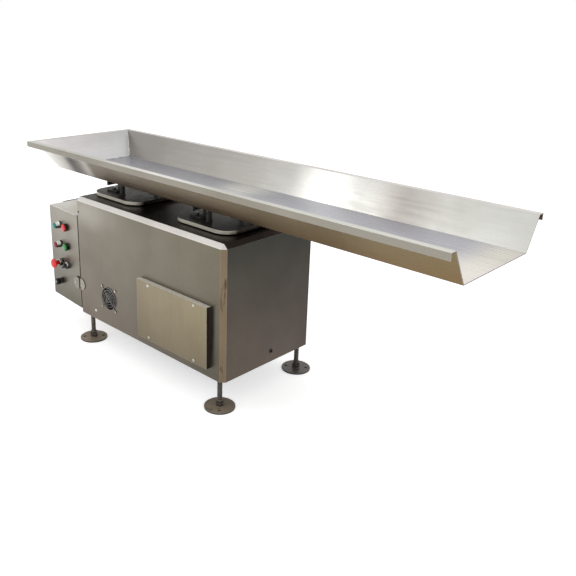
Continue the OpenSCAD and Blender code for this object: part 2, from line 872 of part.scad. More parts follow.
// Turning disc with its raised lever
module selector_knob() {
    color([0.08, 0.08, 0.08]) on_door(col_near, row_low) {
        translate([0, 0, 2 + seat_gap]) cylinder(d = 20.6, h = 8);
        translate([0, 0, -barrel_l + 2]) cylinder(d = stem_d, h = barrel_l + 2);
        intersection() {
            translate([-4, -13, 9]) cube([8, 26, 13]);
            translate([0, 0, 8]) cylinder(r = 13, h = 16);
        }
    }
}

// Speed potentiometer: can behind the door, threaded bush and shaft hole
module speed_pot() {
    color("gray") on_door(knob_x, row_knob) difference() {
        union() {
            translate([0, 0, -box_t - 14]) cylinder(d = 24, h = 14);
            translate([0, 0, -box_t - over]) cylinder(d = bush_thread_d, h = box_t + over + 6);
        }
        translate([0, 0, -box_t - 10]) cylinder(r = 3 + slide_fit, h = 30);
    }
}

// Fluted knob with a plain cap, on the potentiometer's shaft
module speed_knob() {
    flutes = 18;
    knob_r = 14;
    color([0.06, 0.06, 0.06]) on_door(knob_x, row_knob) {
        difference() {
            union() {
                translate([0, 0, 1.5]) cylinder(r = 16, h = 3);
                translate([0, 0, 4]) cylinder(r = knob_r, h = 17);
                translate([0, 0, 21]) cylinder(r = 9.5, h = 1.2);
            }
            translate([0, 0, 1]) cylinder(r = 10, h = 7);
            for (i = [0:flutes - 1]) rotate(i * 360 / flutes) translate([knob_r + 0.8, 0, 5])
                cylinder(r = 1.5, h = 17, $fn = 16);
        }
        translate([0, 0, -box_t - 9]) cylinder(r = 3, h = box_t + 9 + 9);
    }
}

// Ring nuts that clamp the controls from behind the door
module panel_nuts() {
    color("dimgray") {
        for (x = [col_near, col_far], z = [row_top, row_mid, row_low]) on_door(x, z)
            translate([0, 0, -box_t - ring_nut_h]) difference() {
                cylinder(d = ring_nut_d, h = ring_nut_h);
                translate([0, 0, -over]) cylinder(r = barrel_d / 2 + fit, h = ring_nut_h + 2 * over);
            }
        on_door(knob_x, row_knob) difference() {
            hex(13, 1.4);
            translate([0, 0, -over]) cylinder(r = bush_thread_d / 2 + fit, h = 4);
        }
    }
}

// Contact and lamp blocks clipped to the barrels
module contact_blocks() {
    color("ivory") for (x = [col_near, col_far], z = [row_top, row_mid, row_low]) on_door(x, z)
        translate([-block_w / 2, -block_h / 2, -barrel_l - block_l]) cube([block_w, block_h, block_l]);
}

// ---------------------------------------------------------------- tray

// Open trough form between two heights, sloping at both sides and at its left end
module trough_form(half_w, x0, z0, z1, x1) {
    rise = z1 - z0;
    intersection() {
        translate([x0 - rise * end_slope, 0, 0]) rotate([90, 0, 90])
            linear_extrude(x1 - x0 + rise * end_slope) polygon([
                [-half_w, z0], [half_w, z0],
                [half_w + rise * side_slope, z1], [-half_w - rise * side_slope, z1]
            ]);
        translate([0, half_w + rise * side_slope, 0]) rotate([90, 0, 0])
            linear_extrude(2 * (half_w + rise * side_slope)) polygon([
                [x0, z0], [x1, z0], [x1, z1], [x0 - rise * end_slope, z1]
            ]);
    }
}

// Folded tray: trough, flat rim and turned-down lip, with the stud pads below
module tray() {
    side_off = tray_t * (sqrt(1 + side_slope * side_slope) - side_slope);
    end_off = tray_t * (sqrt(1 + end_slope * end_slope) - end_slope);
    rim_out = half_rim + rim_w;
    pad_z = lid_top + 2 * washer_t + sleeve_l + stud_nut_h;
    color("silver") {
        difference() {
            union() {
                trough_form(tray_floor_w / 2 + side_off, floor_x0 - end_off, tray_z0, rim_z, end_x);
                translate([tray_x0, -rim_out, rim_z - tray_t]) cube([tray_l, 2 * rim_out, tray_t]);
            }
            trough_form(tray_floor_w / 2, floor_x0, floor_z, rim_z + 10, end_x + 10);
        }
        // lip along the end and both sides
        translate([0, 0, rim_z - lip_h]) linear_extrude(lip_h) difference() {
            translate([tray_x0, -rim_out]) square([tray_l, 2 * rim_out]);
            translate([tray_x0 + tray_t, -rim_out + tray_t]) square([tray_l, 2 * (rim_out - tray_t)]);
        }
        at_studs() translate([0, 0, pad_z]) difference() {
            cylinder(d = 30, h = tray_z0 - pad_z);
            translate([0, 0, -over]) cylinder(r = stud_d / 2 + fit, h = 12 + over);
        }
    }
}

module at_studs() {
    at_drives() for (s = [-1, 1]) translate([sleeve_x, s * sleeve_y, 0]) children();
}

module at_bracket_bolts() {
    at_drives() for (s = [-1, 1], x = bolt_x) translate([x, s * leg_y, 0]) children();
}

// Cross plate welded under the tray, with two legs ending in bolted feet
module tray_bracket() {
    bar_z = tray_z0 - bracket_bar_h;
    color([0.12, 0.12, 0.12]) difference() {
        union() {
            translate([bracket_x, -bracket_reach, bar_z]) cube([bracket_t, 2 * bracket_reach, bracket_bar_h]);
            for (s = [-1, 1]) {
                translate([bracket_x, s * leg_y - leg_w / 2, lid_top]) cube([bracket_t, leg_w, tray_z0 - lid_top]);
                translate([bracket_x + bracket_t - foot_l, s * leg_y - foot_w / 2, lid_top])
                    cube([foot_l, foot_w, bracket_t]);
            }
        }
        for (s = [-1, 1], x = bolt_x) translate([x, s * leg_y, lid_top - over])
            cylinder(r = bolt_d / 2 + fit, h = bracket_t + 2 * over);
    }
}

module tray_bracket_1() { at_drive(0) tray_bracket(); }
module tray_bracket_2() { at_drive(1) tray_bracket(); }

// Rounded lid with a turned-down edge, clamped under the bracket feet and sleeves
module lid() {
    color("silver") translate([0, 0, lid_z]) difference() {
        linear_extrude(lid_h) rounded_rect(lid_l, lid_w, lid_r);
        translate([0, 0, -over]) linear_extrude(lid_h - lid_t + over)
            rounded_rect(lid_l - 2 * lid_t, lid_w - 2 * lid_t, lid_r - lid_t);
        for (s = [-1, 1]) {
            for (x = bolt_x) translate([x, s * leg_y, 0]) cylinder(r = bolt_d / 2 + fit, h = lid_h + over);
            translate([sleeve_x, s * sleeve_y, 0]) cylinder(r = stud_d / 2 + fit, h = lid_h + over);
        }
    }
}

module lid_1() { at_drive(0) lid(); }
module lid_2() { at_drive(1) lid(); }

module bracket_bolts() {
    z = lid_top + bracket_t;
    grip = bracket_t + lid_t;
    color("gainsboro") at_bracket_bolts() {
        translate([0, 0, z]) cylinder(d = 2 * bolt_d, h = 1.6);
        translate([0, 0, z + 1.6]) hex(bolt_af, 5.3);
        translate([0, 0, z - grip - bolt_depth]) cylinder(d = bolt_d, h = grip + bolt_depth + 2);
    }
}

module spacer_sleeves() {
    color([0.05, 0.05, 0.05]) at_studs() translate([0, 0, lid_top + washer_t]) difference() {
        cylinder(d = sleeve_d, h = sleeve_l);
        translate([0, 0, -over]) cylinder(r = stud_d / 2 + fit, h = sleeve_l + 2 * over);
    }
}

// Studs with a washer at each end of the sleeve and the nut on top
module spacer_studs() {
    top = lid_top + 2 * washer_t + sleeve_l;
    color("gainsboro") at_studs() {
        for (z = [lid_top, top - washer_t]) translate([0, 0, z]) cylinder(d = washer_d, h = washer_t);
        translate([0, 0, top]) hex(stud_af, stud_nut_h);
        translate([0, 0, lid_top - lid_t - bolt_depth])
            cylinder(d = stud_d, h = top + stud_nut_h + 10 - lid_top + lid_t + bolt_depth);
    }
}

// ---------------------------------------------------------------- drives

// Frame of a leaning spring pack: +X along the throw, +Z along the leaves
module at_pack(side) {
    translate([side * pack_pitch / 2, 0, pack_z]) rotate([0, -lean, 0]) children();
}

// Clamp jaws at both faces of a pack's end, leaving a slot for the leaves
module jaws(side, end, reach) {
    z0 = end > 0 ? leaf_l / 2 - clamp_h : -leaf_l / 2 - reach;
    at_pack(side) difference() {
        translate([-pack_t / 2 - clamp_t, -clamp_w / 2, z0])
            cube([pack_t + 2 * clamp_t, clamp_w, clamp_h + reach]);
        translate([-pack_t / 2 - seat_gap, -leaf_w / 2 - seat_gap, end > 0 ? z0 - over : -leaf_l / 2 - seat_gap])
            cube([pack_t + 2 * seat_gap, leaf_w + 2 * seat_gap, clamp_h + seat_gap + over]);
    }
}

// Cast base: plate with leaning clamp jaws and the magnet's seat
module drive_base() {
    x0 = -95;
    x1 = clamp_shift + pack_pitch / 2 + 35;
    color("slategray") {
        translate([x0, -plate_w / 2 + 10, base_z]) cube([x1 - x0, plate_w - 20, base_t]);
        intersection() {
            for (side = [-1, 1]) jaws(side, -1, 40);
            translate([-400, -200, base_z]) cube([800, 400, 400]);
        }
        // seat of the magnet
        intersection() {
            translate([0, 0, pack_z]) rotate([0, -lean, 0])
                translate([air_gap + 4, -core_v / 2, -core_w / 2 - 120]) cube([core_u - air_gap - 8, core_v, 120]);
            translate([-400, -200, base_z]) cube([800, 400, 400]);
        }
    }
}

// Laminated magnet core with its winding, facing along the throw
module magnet() {
    color("sienna") translate([0, 0, pack_z]) rotate([0, -lean, 0]) {
        translate([air_gap, -core_v / 2, -core_w / 2]) cube([core_u - air_gap, core_v, core_w]);
        translate([air_gap + 3, -core_v / 2 - 10, -12]) cube([core_u - air_gap - 14, core_v + 20, 24]);
    }
}

// Armature block on its arm below the top plate
module armature() {
    color("darkgray") intersection() {
        translate([0, 0, pack_z]) rotate([0, -lean, 0]) {
            translate([-yoke_t, -core_v / 2, -core_w / 2]) cube([yoke_t, core_v, core_w]);
            translate([-yoke_t, -core_v / 2 + 15, -core_w / 2]) cube([yoke_t, core_v - 30, core_w + 200]);
        }
        translate([-400, -200, 0]) cube([800, 400, top_z]);
    }
}

// Top frame: plate, leaning clamp jaws and four risers to the lid
module top_plate() {
    x0 = -clamp_shift - pack_pitch / 2 - 30;
    riser_top = lid_top - lid_t;
    color("slategray") difference() {
        union() {
            translate([x0, -plate_w / 2, top_z]) cube([170, plate_w, base_t]);
            intersection() {
                for (side = [-1, 1]) jaws(side, 1, 40);
                translate([-400, -200, 0]) cube([800, 400, top_z + base_t]);
            }
            for (s = [-1, 1]) {
                translate([(bolt_x[0] + bolt_x[1]) / 2 - 20, s * leg_y - 15, top_z])
                    cube([40, 30, riser_top - top_z]);
                translate([sleeve_x, s * sleeve_y, top_z]) cylinder(d = 30, h = riser_top - top_z);
            }
        }
        for (s = [-1, 1]) {
            for (x = bolt_x) translate([x, s * leg_y, riser_top - bolt_depth])
                cylinder(r = bolt_d / 2 + fit, h = bolt_depth + over);
            translate([sleeve_x, s * sleeve_y, riser_top - bolt_depth])
                cylinder(r = stud_d / 2 + fit, h = bolt_depth + over);
        }
    }
}

module drive_base_1() { at_drive(0) drive_base(); }
module drive_base_2() { at_drive(1) drive_base(); }
module magnet_1() { at_drive(0) magnet(); }
module magnet_2() { at_drive(1) magnet(); }
module armature_1() { at_drive(0) armature(); }
module armature_2() { at_drive(1) armature(); }
module top_plate_1() { at_drive(0) top_plate(); }
module top_plate_2() { at_drive(1) top_plate(); }

// Rubber isolators between the base frame and the drives
module isolators() {
    color("black") at_drives() for (x = isolator_x, y = [-inner_rail_y, inner_rail_y])
        translate([x, y, frame_top]) cylinder(d = isolator_d, h = isolator_h);
}

// Pack of leaves parted by spacers at both ends
module spring_pack(side) {
    color("steelblue") at_pack(side) {
        for (i = [0:leaf_count - 1])
            translate([-pack_t / 2 + 2 * i * leaf_t, -leaf_w / 2, -leaf_l / 2]) cube([leaf_t, leaf_w, leaf_l]);
        for (z = [-leaf_l / 2, leaf_l / 2 - clamp_h])
            translate([-pack_t / 2, -leaf_w / 2, z]) cube([pack_t, leaf_w, clamp_h]);
    }
}

module spring_left_1() { at_drive(0) spring_pack(-1); }
module spring_right_1() { at_drive(0) spring_pack(1); }
module spring_left_2() { at_drive(1) spring_pack(-1); }
module spring_right_2() { at_drive(1) spring_pack(1); }

// ---------------------------------------------------------------- assembly

cabinet_hood();
base_frame();
foot_front_left();
foot_front_right();
foot_rear_left();
foot_rear_right();
foot_lock_nuts();
service_cover();
case_screws();
fan_guard();
fan_frame();
fan_rotor();
fan_screws();
control_box();
box_handle();
mounting_plate();
vibration_controller();
door_catch();
control_door();
door_hinge_leaf();
cabinet_hinge_leaf();
hinge_pin();
pivot_bracket();
start_housing();
start_cap();
stop_housing();
stop_cap();
power_lamp_bezel();
power_lamp_lens();
fault_lamp_bezel();
fault_lamp_lens();
estop_collar();
estop_head();
selector_collar();
selector_knob();
speed_pot();
speed_knob();
panel_nuts();
contact_blocks();
tray();
tray_bracket_1();
tray_bracket_2();
lid_1();
lid_2();
bracket_bolts();
spacer_sleeves();
spacer_studs();
top_plate_1();
top_plate_2();
armature_1();
armature_2();
drive_base_1();
drive_base_2();
magnet_1();
magnet_2();
isolators();
spring_left_1();
spring_right_1();
spring_left_2();
spring_right_2();
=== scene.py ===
import json
import math
import random

import bmesh
import bpy
from mathutils import Matrix, Vector


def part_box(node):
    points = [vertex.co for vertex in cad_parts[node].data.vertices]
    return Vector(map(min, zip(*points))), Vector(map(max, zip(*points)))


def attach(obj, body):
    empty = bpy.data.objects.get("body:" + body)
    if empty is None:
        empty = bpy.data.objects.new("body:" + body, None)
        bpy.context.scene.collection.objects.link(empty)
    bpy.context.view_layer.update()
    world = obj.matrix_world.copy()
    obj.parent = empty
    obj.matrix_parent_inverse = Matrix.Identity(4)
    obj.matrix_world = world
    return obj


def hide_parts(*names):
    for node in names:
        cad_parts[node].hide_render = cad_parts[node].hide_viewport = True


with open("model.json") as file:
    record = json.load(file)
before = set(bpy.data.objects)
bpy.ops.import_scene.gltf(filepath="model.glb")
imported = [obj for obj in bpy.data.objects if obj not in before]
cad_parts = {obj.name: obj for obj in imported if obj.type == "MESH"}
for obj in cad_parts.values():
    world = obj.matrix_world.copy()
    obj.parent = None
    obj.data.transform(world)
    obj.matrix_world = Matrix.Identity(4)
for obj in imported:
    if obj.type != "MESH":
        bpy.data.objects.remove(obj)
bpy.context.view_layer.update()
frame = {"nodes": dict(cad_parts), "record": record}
scene = bpy.context.scene
scene.view_settings.view_transform = "Standard"

# ---------------------------------------------------------------- camera
# A plain camera at standing height, off the front right corner of the machine.
camera_data = bpy.data.cameras.new("camera")
camera_data.sensor_width = 36
camera_data.lens = 44.3
camera_data.shift_x = 0.08
camera_data.shift_y = -0.08
camera = bpy.data.objects.new("camera", camera_data)
camera.location = (1.625, -1.635, 1.251)
camera.rotation_euler = [math.radians(a) for a in (72.0, -1.0, 44.6)]
scene.collection.objects.link(camera)
scene.camera = camera


# ---------------------------------------------------------------- floor and light
# A white studio floor that runs out into a white surround and keeps only the machine's
# soft shadow, with a weak key from the front left, a fill and a strip above the tray.
def add_node(tree, kind, **values):
    """A new node with its settings; in_2, say, sets the plain value of input 2."""
    node = tree.nodes.new(kind)
    for key, value in values.items():
        if key.startswith("in_"):
            node.inputs[int(key[3:])].default_value = value
        else:
            setattr(node, key, value)
    return node


def seen_directly(tree, low, high):
    """A level for what the camera, metal and glass see, and another for the rest."""
    rays = add_node(tree, "ShaderNodeLightPath")
    either = add_node(tree, "ShaderNodeMath", operation="MAXIMUM")
    seen = add_node(tree, "ShaderNodeMath", operation="MAXIMUM")
    tree.links.new(rays.outputs["Is Camera Ray"], either.inputs[0])
    tree.links.new(rays.outputs["Is Glossy Ray"], either.inputs[1])
    tree.links.new(either.outputs[0], seen.inputs[0])
    tree.links.new(rays.outputs["Is Transmission Ray"], seen.inputs[1])
    level = add_node(tree, "ShaderNodeMapRange")
    level.inputs["To Min"].default_value = low
    level.inputs["To Max"].default_value = high
    tree.links.new(seen.outputs[0], level.inputs["Value"])
    return level.outputs[0]


world = bpy.data.worlds.new("studio")
scene.world = world
world.use_nodes = True
surround = world.node_tree.nodes["Background"]
surround.inputs["Color"].default_value = (1, 1, 1, 1)
world.node_tree.links.new(seen_directly(world.node_tree, 0.8, 1.0), surround.inputs["Strength"])

floor_mesh = bpy.data.meshes.new("studio_floor")
floor_reach = 30
floor_mesh.from_pydata([(floor_reach * x, floor_reach * y, 0)
                        for x, y in ((-1, -1), (1, -1), (1, 1), (-1, 1))], [], [(0, 1, 2, 3)])
floor = bpy.data.objects.new("studio_floor", floor_mesh)
scene.collection.objects.link(floor)
floor_paint = bpy.data.materials.new("floor_paint")
floor_paint.use_nodes = True
floor_shader = floor_paint.node_tree.nodes["Principled BSDF"]
floor_shader.inputs["Base Color"].default_value = (0.9, 0.9, 0.9, 1)
floor_shader.inputs["Roughness"].default_value = 0.9
floor_shader.inputs["Specular IOR Level"].default_value = 0.0
floor_shader.inputs["Emission Color"].default_value = (1, 1, 1, 1)
floor_paint.node_tree.links.new(seen_directly(floor_paint.node_tree, 0.0, 0.55),
                                floor_shader.inputs["Emission Strength"])
floor_mesh.materials.append(floor_paint)


def softbox(name, place, target, size, power):
    """A rectangular area lamp that points at its target."""
    lamp = bpy.data.lights.new(name, "AREA")
    lamp.shape = "RECTANGLE"
    lamp.size, lamp.size_y = size
    lamp.energy = power
    holder = bpy.data.objects.new(name, lamp)
    holder.location = place
    aim = Vector(target) - Vector(place)
    holder.rotation_euler = aim.to_track_quat("-Z", "Y").to_euler()
    scene.collection.objects.link(holder)


softbox("key", (-1.6, -2.6, 2.6), (-0.2, 0, 0.5), (1.4, 1.0), 10)
softbox("fill", (3.2, 0.6, 2.0), (0, 0, 0.4), (1.6, 1.6), 4)
softbox("strip", (0.4, 0.9, 2.8), (0.2, 0, 0.7), (2.4, 0.5), 2)


# ---------------------------------------------------------------- base frame
# Welded square tube, painted grey, at the foot of the cabinet. The four feet screw into
# it, and it shows only from below.
def new_group(name, inputs, outputs):
    """An effect that several finishes share, with its input and output nodes."""
    group = bpy.data.node_groups.new(name, "ShaderNodeTree")
    for label, kind, value in inputs:
        socket = group.interface.new_socket(label, in_out="INPUT", socket_type=kind)
        if value is not None:
            socket.default_value = value
    for label, kind in outputs:
        group.interface.new_socket(label, in_out="OUTPUT", socket_type=kind)
    return group, group.nodes.new("NodeGroupInput"), group.nodes.new("NodeGroupOutput")


def noise(tree, vector, scale, detail, roughness=0.5, output="Fac"):
    made = add_node(tree, "ShaderNodeTexNoise")
    made.inputs["Scale"].default_value = scale
    made.inputs["Detail"].default_value = detail
    made.inputs["Roughness"].default_value = roughness
    tree.links.new(vector, made.inputs["Vector"])
    return made.outputs[output]


# The polish that handling leaves on edges
edge_group, given, out = new_group(
    "edge_polish",
    [("Radius", "NodeSocketFloat", 0.0015), ("Reach", "NodeSocketFloat", 4.0)],
    [("Mask", "NodeSocketFloat"), ("Normal", "NodeSocketVector")])
rounded = add_node(edge_group, "ShaderNodeBevel", samples=4)
true_face = add_node(edge_group, "ShaderNodeNewGeometry")
agree = add_node(edge_group, "ShaderNodeVectorMath", operation="DOT_PRODUCT")
away = add_node(edge_group, "ShaderNodeMath", operation="SUBTRACT", use_clamp=True, in_0=1.0)
reach = add_node(edge_group, "ShaderNodeMath", operation="MULTIPLY", use_clamp=True)
edge_group.links.new(given.outputs["Radius"], rounded.inputs["Radius"])
edge_group.links.new(rounded.outputs[0], agree.inputs[0])
edge_group.links.new(true_face.outputs["Normal"], agree.inputs[1])
edge_group.links.new(agree.outputs["Value"], away.inputs[1])
edge_group.links.new(away.outputs[0], reach.inputs[0])
edge_group.links.new(given.outputs["Reach"], reach.inputs[1])
edge_group.links.new(reach.outputs[0], out.inputs["Mask"])
edge_group.links.new(rounded.outputs[0], out.inputs["Normal"])


def grouped(tree, group, **values):
    made = tree.nodes.new("ShaderNodeGroup")
    made.node_tree = group
    for key, value in values.items():
        made.inputs[key].default_value = value
    return made


def tint(red, green, blue):
    """A swatch colour, 0 to 255, as the plain values that a shader takes."""
    return tuple((c / 255 / 12.92) if c < 11 else ((c / 255 + 0.055) / 1.055) ** 2.4
                 for c in (red, green, blue))


def feed(tree, value, place):
    """Feeds one input from another node's socket, or with a plain value."""
    if isinstance(value, bpy.types.NodeSocket):
        tree.links.new(value, place)
    else:
        place.default_value = value


def mixed(tree, mask, first, second, blend="MIX"):
    """Mix of two colours, each a socket or a swatch; the mask is a socket or a number."""
    made = add_node(tree, "ShaderNodeMix", data_type="RGBA", blend_type=blend)
    feed(tree, mask, made.inputs[0])
    for colour, place in ((first, made.inputs[6]), (second, made.inputs[7])):
        feed(tree, (*tint(*colour), 1) if isinstance(colour, tuple) else colour, place)
    return made.outputs[2]


def scaled(tree, socket, low, high, start=0.0, end=1.0):
    made = add_node(tree, "ShaderNodeMapRange")
    made.inputs["From Min"].default_value = start
    made.inputs["From Max"].default_value = end
    made.inputs["To Min"].default_value = low
    made.inputs["To Max"].default_value = high
    tree.links.new(socket, made.inputs["Value"])
    return made.outputs[0]


def coated(name, tone, worn, roughness, metallic=0.0, spots=60.0, texture_depth=0.0001,
           edge_radius=0.001, edge_reach=2.5, coat=0.0, specular=0.5):
    """Paint, plastic or rubber: a faint mottle, a textured skin and rubbed edges."""
    finish = bpy.data.materials.new(name)
    finish.use_nodes = True
    tree = finish.node_tree
    shader = tree.nodes["Principled BSDF"]
    where = add_node(tree, "ShaderNodeTexCoord")
    edges = grouped(tree, edge_group, Radius=edge_radius, Reach=edge_reach)
    mottle = noise(tree, where.outputs["Object"], spots * 0.2, 4, 0.6)
    texture = noise(tree, where.outputs["Object"], spots * 12, 2)
    lighter = tuple(min(255, c * 1.1 + 6) for c in tone)
    body = mixed(tree, scaled(tree, mottle, 0, 1, 0.35, 0.7), tone, lighter)
    rubbed = scaled(tree, edges.outputs["Mask"], 0, 0.7)
    tree.links.new(mixed(tree, rubbed, body, worn), shader.inputs["Base Color"])
    tree.links.new(scaled(tree, mottle, roughness - 0.05, roughness + 0.1, 0.3, 0.7),
                   shader.inputs["Roughness"])
    bump = add_node(tree, "ShaderNodeBump")
    bump.inputs["Strength"].default_value = 0.5
    bump.inputs["Distance"].default_value = texture_depth
    tree.links.new(texture, bump.inputs["Height"])
    tree.links.new(edges.outputs["Normal"], bump.inputs["Normal"])
    tree.links.new(bump.outputs[0], shader.inputs["Normal"])
    shader.inputs["Metallic"].default_value = metallic
    shader.inputs["Coat Weight"].default_value = coat
    shader.inputs["Specular IOR Level"].default_value = specular
    return finish


def dress(finish, *nodes):
    """Gives carried-over solids their finish."""
    for name in nodes:
        solid = frame["nodes"][name]
        solid.data.materials.clear()
        solid.data.materials.append(finish)


def break_edges(width, segments, *nodes):
    """Rounds a solid's sharp edges, as folding or deburring does."""
    for name in nodes:
        soften = frame["nodes"][name].modifiers.new("edges", "BEVEL")
        soften.width = width
        soften.segments = segments
        soften.limit_method = "ANGLE"
        soften.angle_limit = math.radians(40)
        soften.harden_normals = True


frame_grey = coated("frame_grey", (112, 114, 116), (160, 158, 154), 0.5, spots=40)
dress(frame_grey, "base_frame")
break_edges(0.0015, 2, "base_frame")


# ---------------------------------------------------------------- levelling feet
# Turned stainless plates with a boss, each on an M16 rod with its thread wound on, and a lock nut above the
# boss. They are coloured dull dark brown, and the plates' tops carry painted light, lit towards the front and
# shaded towards the rear.

# The grain that a belt leaves in sheet steel
grain_group, given, out = new_group(
    "belt_grain",
    [("Position", "NodeSocketVector", None), ("Stretch", "NodeSocketVector", (1, 1, 1))],
    [("Grain", "NodeSocketFloat"), ("Streak", "NodeSocketFloat"), ("Cloud", "NodeSocketFloat"),
     ("Scratch", "NodeSocketFloat")])
stretched = add_node(grain_group, "ShaderNodeVectorMath", operation="MULTIPLY")
grain_group.links.new(given.outputs["Position"], stretched.inputs[0])
grain_group.links.new(given.outputs["Stretch"], stretched.inputs[1])
grain_group.links.new(noise(grain_group, stretched.outputs[0], 9, 4), out.inputs["Grain"])
grain_group.links.new(noise(grain_group, stretched.outputs[0], 0.55, 3), out.inputs["Streak"])
grain_group.links.new(noise(grain_group, given.outputs["Position"], 3.2, 4, 0.6), out.inputs["Cloud"])
scratch = add_node(grain_group, "ShaderNodeMapRange")
scratch.inputs["From Min"].default_value = 0.66
scratch.inputs["From Max"].default_value = 0.74
grain_group.links.new(noise(grain_group, stretched.outputs[0], 3.1, 5, 0.7), scratch.inputs["Value"])
grain_group.links.new(scratch.outputs[0], out.inputs["Scratch"])

# A mask for faces that look one way
facing_group, given, out = new_group(
    "facing",
    [("Normal", "NodeSocketVector", None), ("Direction", "NodeSocketVector", (0, 0, 1)),
     ("From", "NodeSocketFloat", 0.5), ("To", "NodeSocketFloat", 0.9)],
    [("Mask", "NodeSocketFloat")])
match = add_node(facing_group, "ShaderNodeVectorMath", operation="DOT_PRODUCT")
ramp = add_node(facing_group, "ShaderNodeMapRange")
facing_group.links.new(given.outputs["Normal"], match.inputs[0])
facing_group.links.new(given.outputs["Direction"], match.inputs[1])
facing_group.links.new(match.outputs["Value"], ramp.inputs["Value"])
facing_group.links.new(given.outputs["From"], ramp.inputs["From Min"])
facing_group.links.new(given.outputs["To"], ramp.inputs["From Max"])
facing_group.links.new(ramp.outputs[0], out.inputs["Mask"])


def along(tree, place, axis, start, end):
    """How far a point lies along an axis: 0 at the start, 1 at the end."""
    reach = add_node(tree, "ShaderNodeVectorMath", operation="DOT_PRODUCT", in_1=axis)
    tree.links.new(place, reach.inputs[0])
    return scaled(tree, reach.outputs["Value"], 0, 1, start, end)


def painted_sheet_light(run, rise, low, high, *painted_reflections):
    """Painted light and shade of one sheet. Run and rise are each an axis with the sheet's two ends on it;
    low and high hold the swatches at the start and end of its lower and its upper edge. A glint is a painted
    reflection, a soft place in the sheet that stands for the room mirrored in it: centre, reach and swatch."""
    def paint(tree, place):
        reach, height = along(tree, place, *run), along(tree, place, *rise)
        colour = mixed(tree, height, mixed(tree, reach, *low), mixed(tree, reach, *high))
        for centre, size, swatch in painted_reflections:
            away = add_node(tree, "ShaderNodeVectorMath", operation="SUBTRACT", in_1=centre)
            shrunk = add_node(tree, "ShaderNodeVectorMath", operation="DIVIDE", in_1=size)
            distance = add_node(tree, "ShaderNodeVectorMath", operation="LENGTH")
            soft = add_node(tree, "ShaderNodeMapRange", interpolation_type="SMOOTHSTEP",
                            in_1=1.0, in_2=0.0)
            tree.links.new(place, away.inputs[0])
            tree.links.new(away.outputs[0], shrunk.inputs[0])
            tree.links.new(shrunk.outputs[0], distance.inputs[0])
            tree.links.new(distance.outputs["Value"], soft.inputs["Value"])
            colour = mixed(tree, soft.outputs[0], colour, swatch)
        return colour
    return paint


def drifted(tree, place):
    """A place that wanders a little, so that a sheet's tones lie in no straight bands."""
    drift = add_node(tree, "ShaderNodeVectorMath", operation="SCALE", in_3=0.05)
    moved = add_node(tree, "ShaderNodeVectorMath", operation="ADD")
    tree.links.new(noise(tree, place, 4, 2, output="Color"), drift.inputs[0])
    tree.links.new(place, moved.inputs[0])
    tree.links.new(drift.outputs[0], moved.inputs[1])
    return moved.outputs[0]


along_x, along_y, upright, frontward = (1, 0, 0), (0, 1, 0), (0, 0, 1), (0, -1, 0)
# How nearly a face looks its way when its painted tone sets in, and when it is full
wide_face, narrow_face, tray_face = (0.8, 0.98), (0.95, 0.99), (0.93, 0.99)


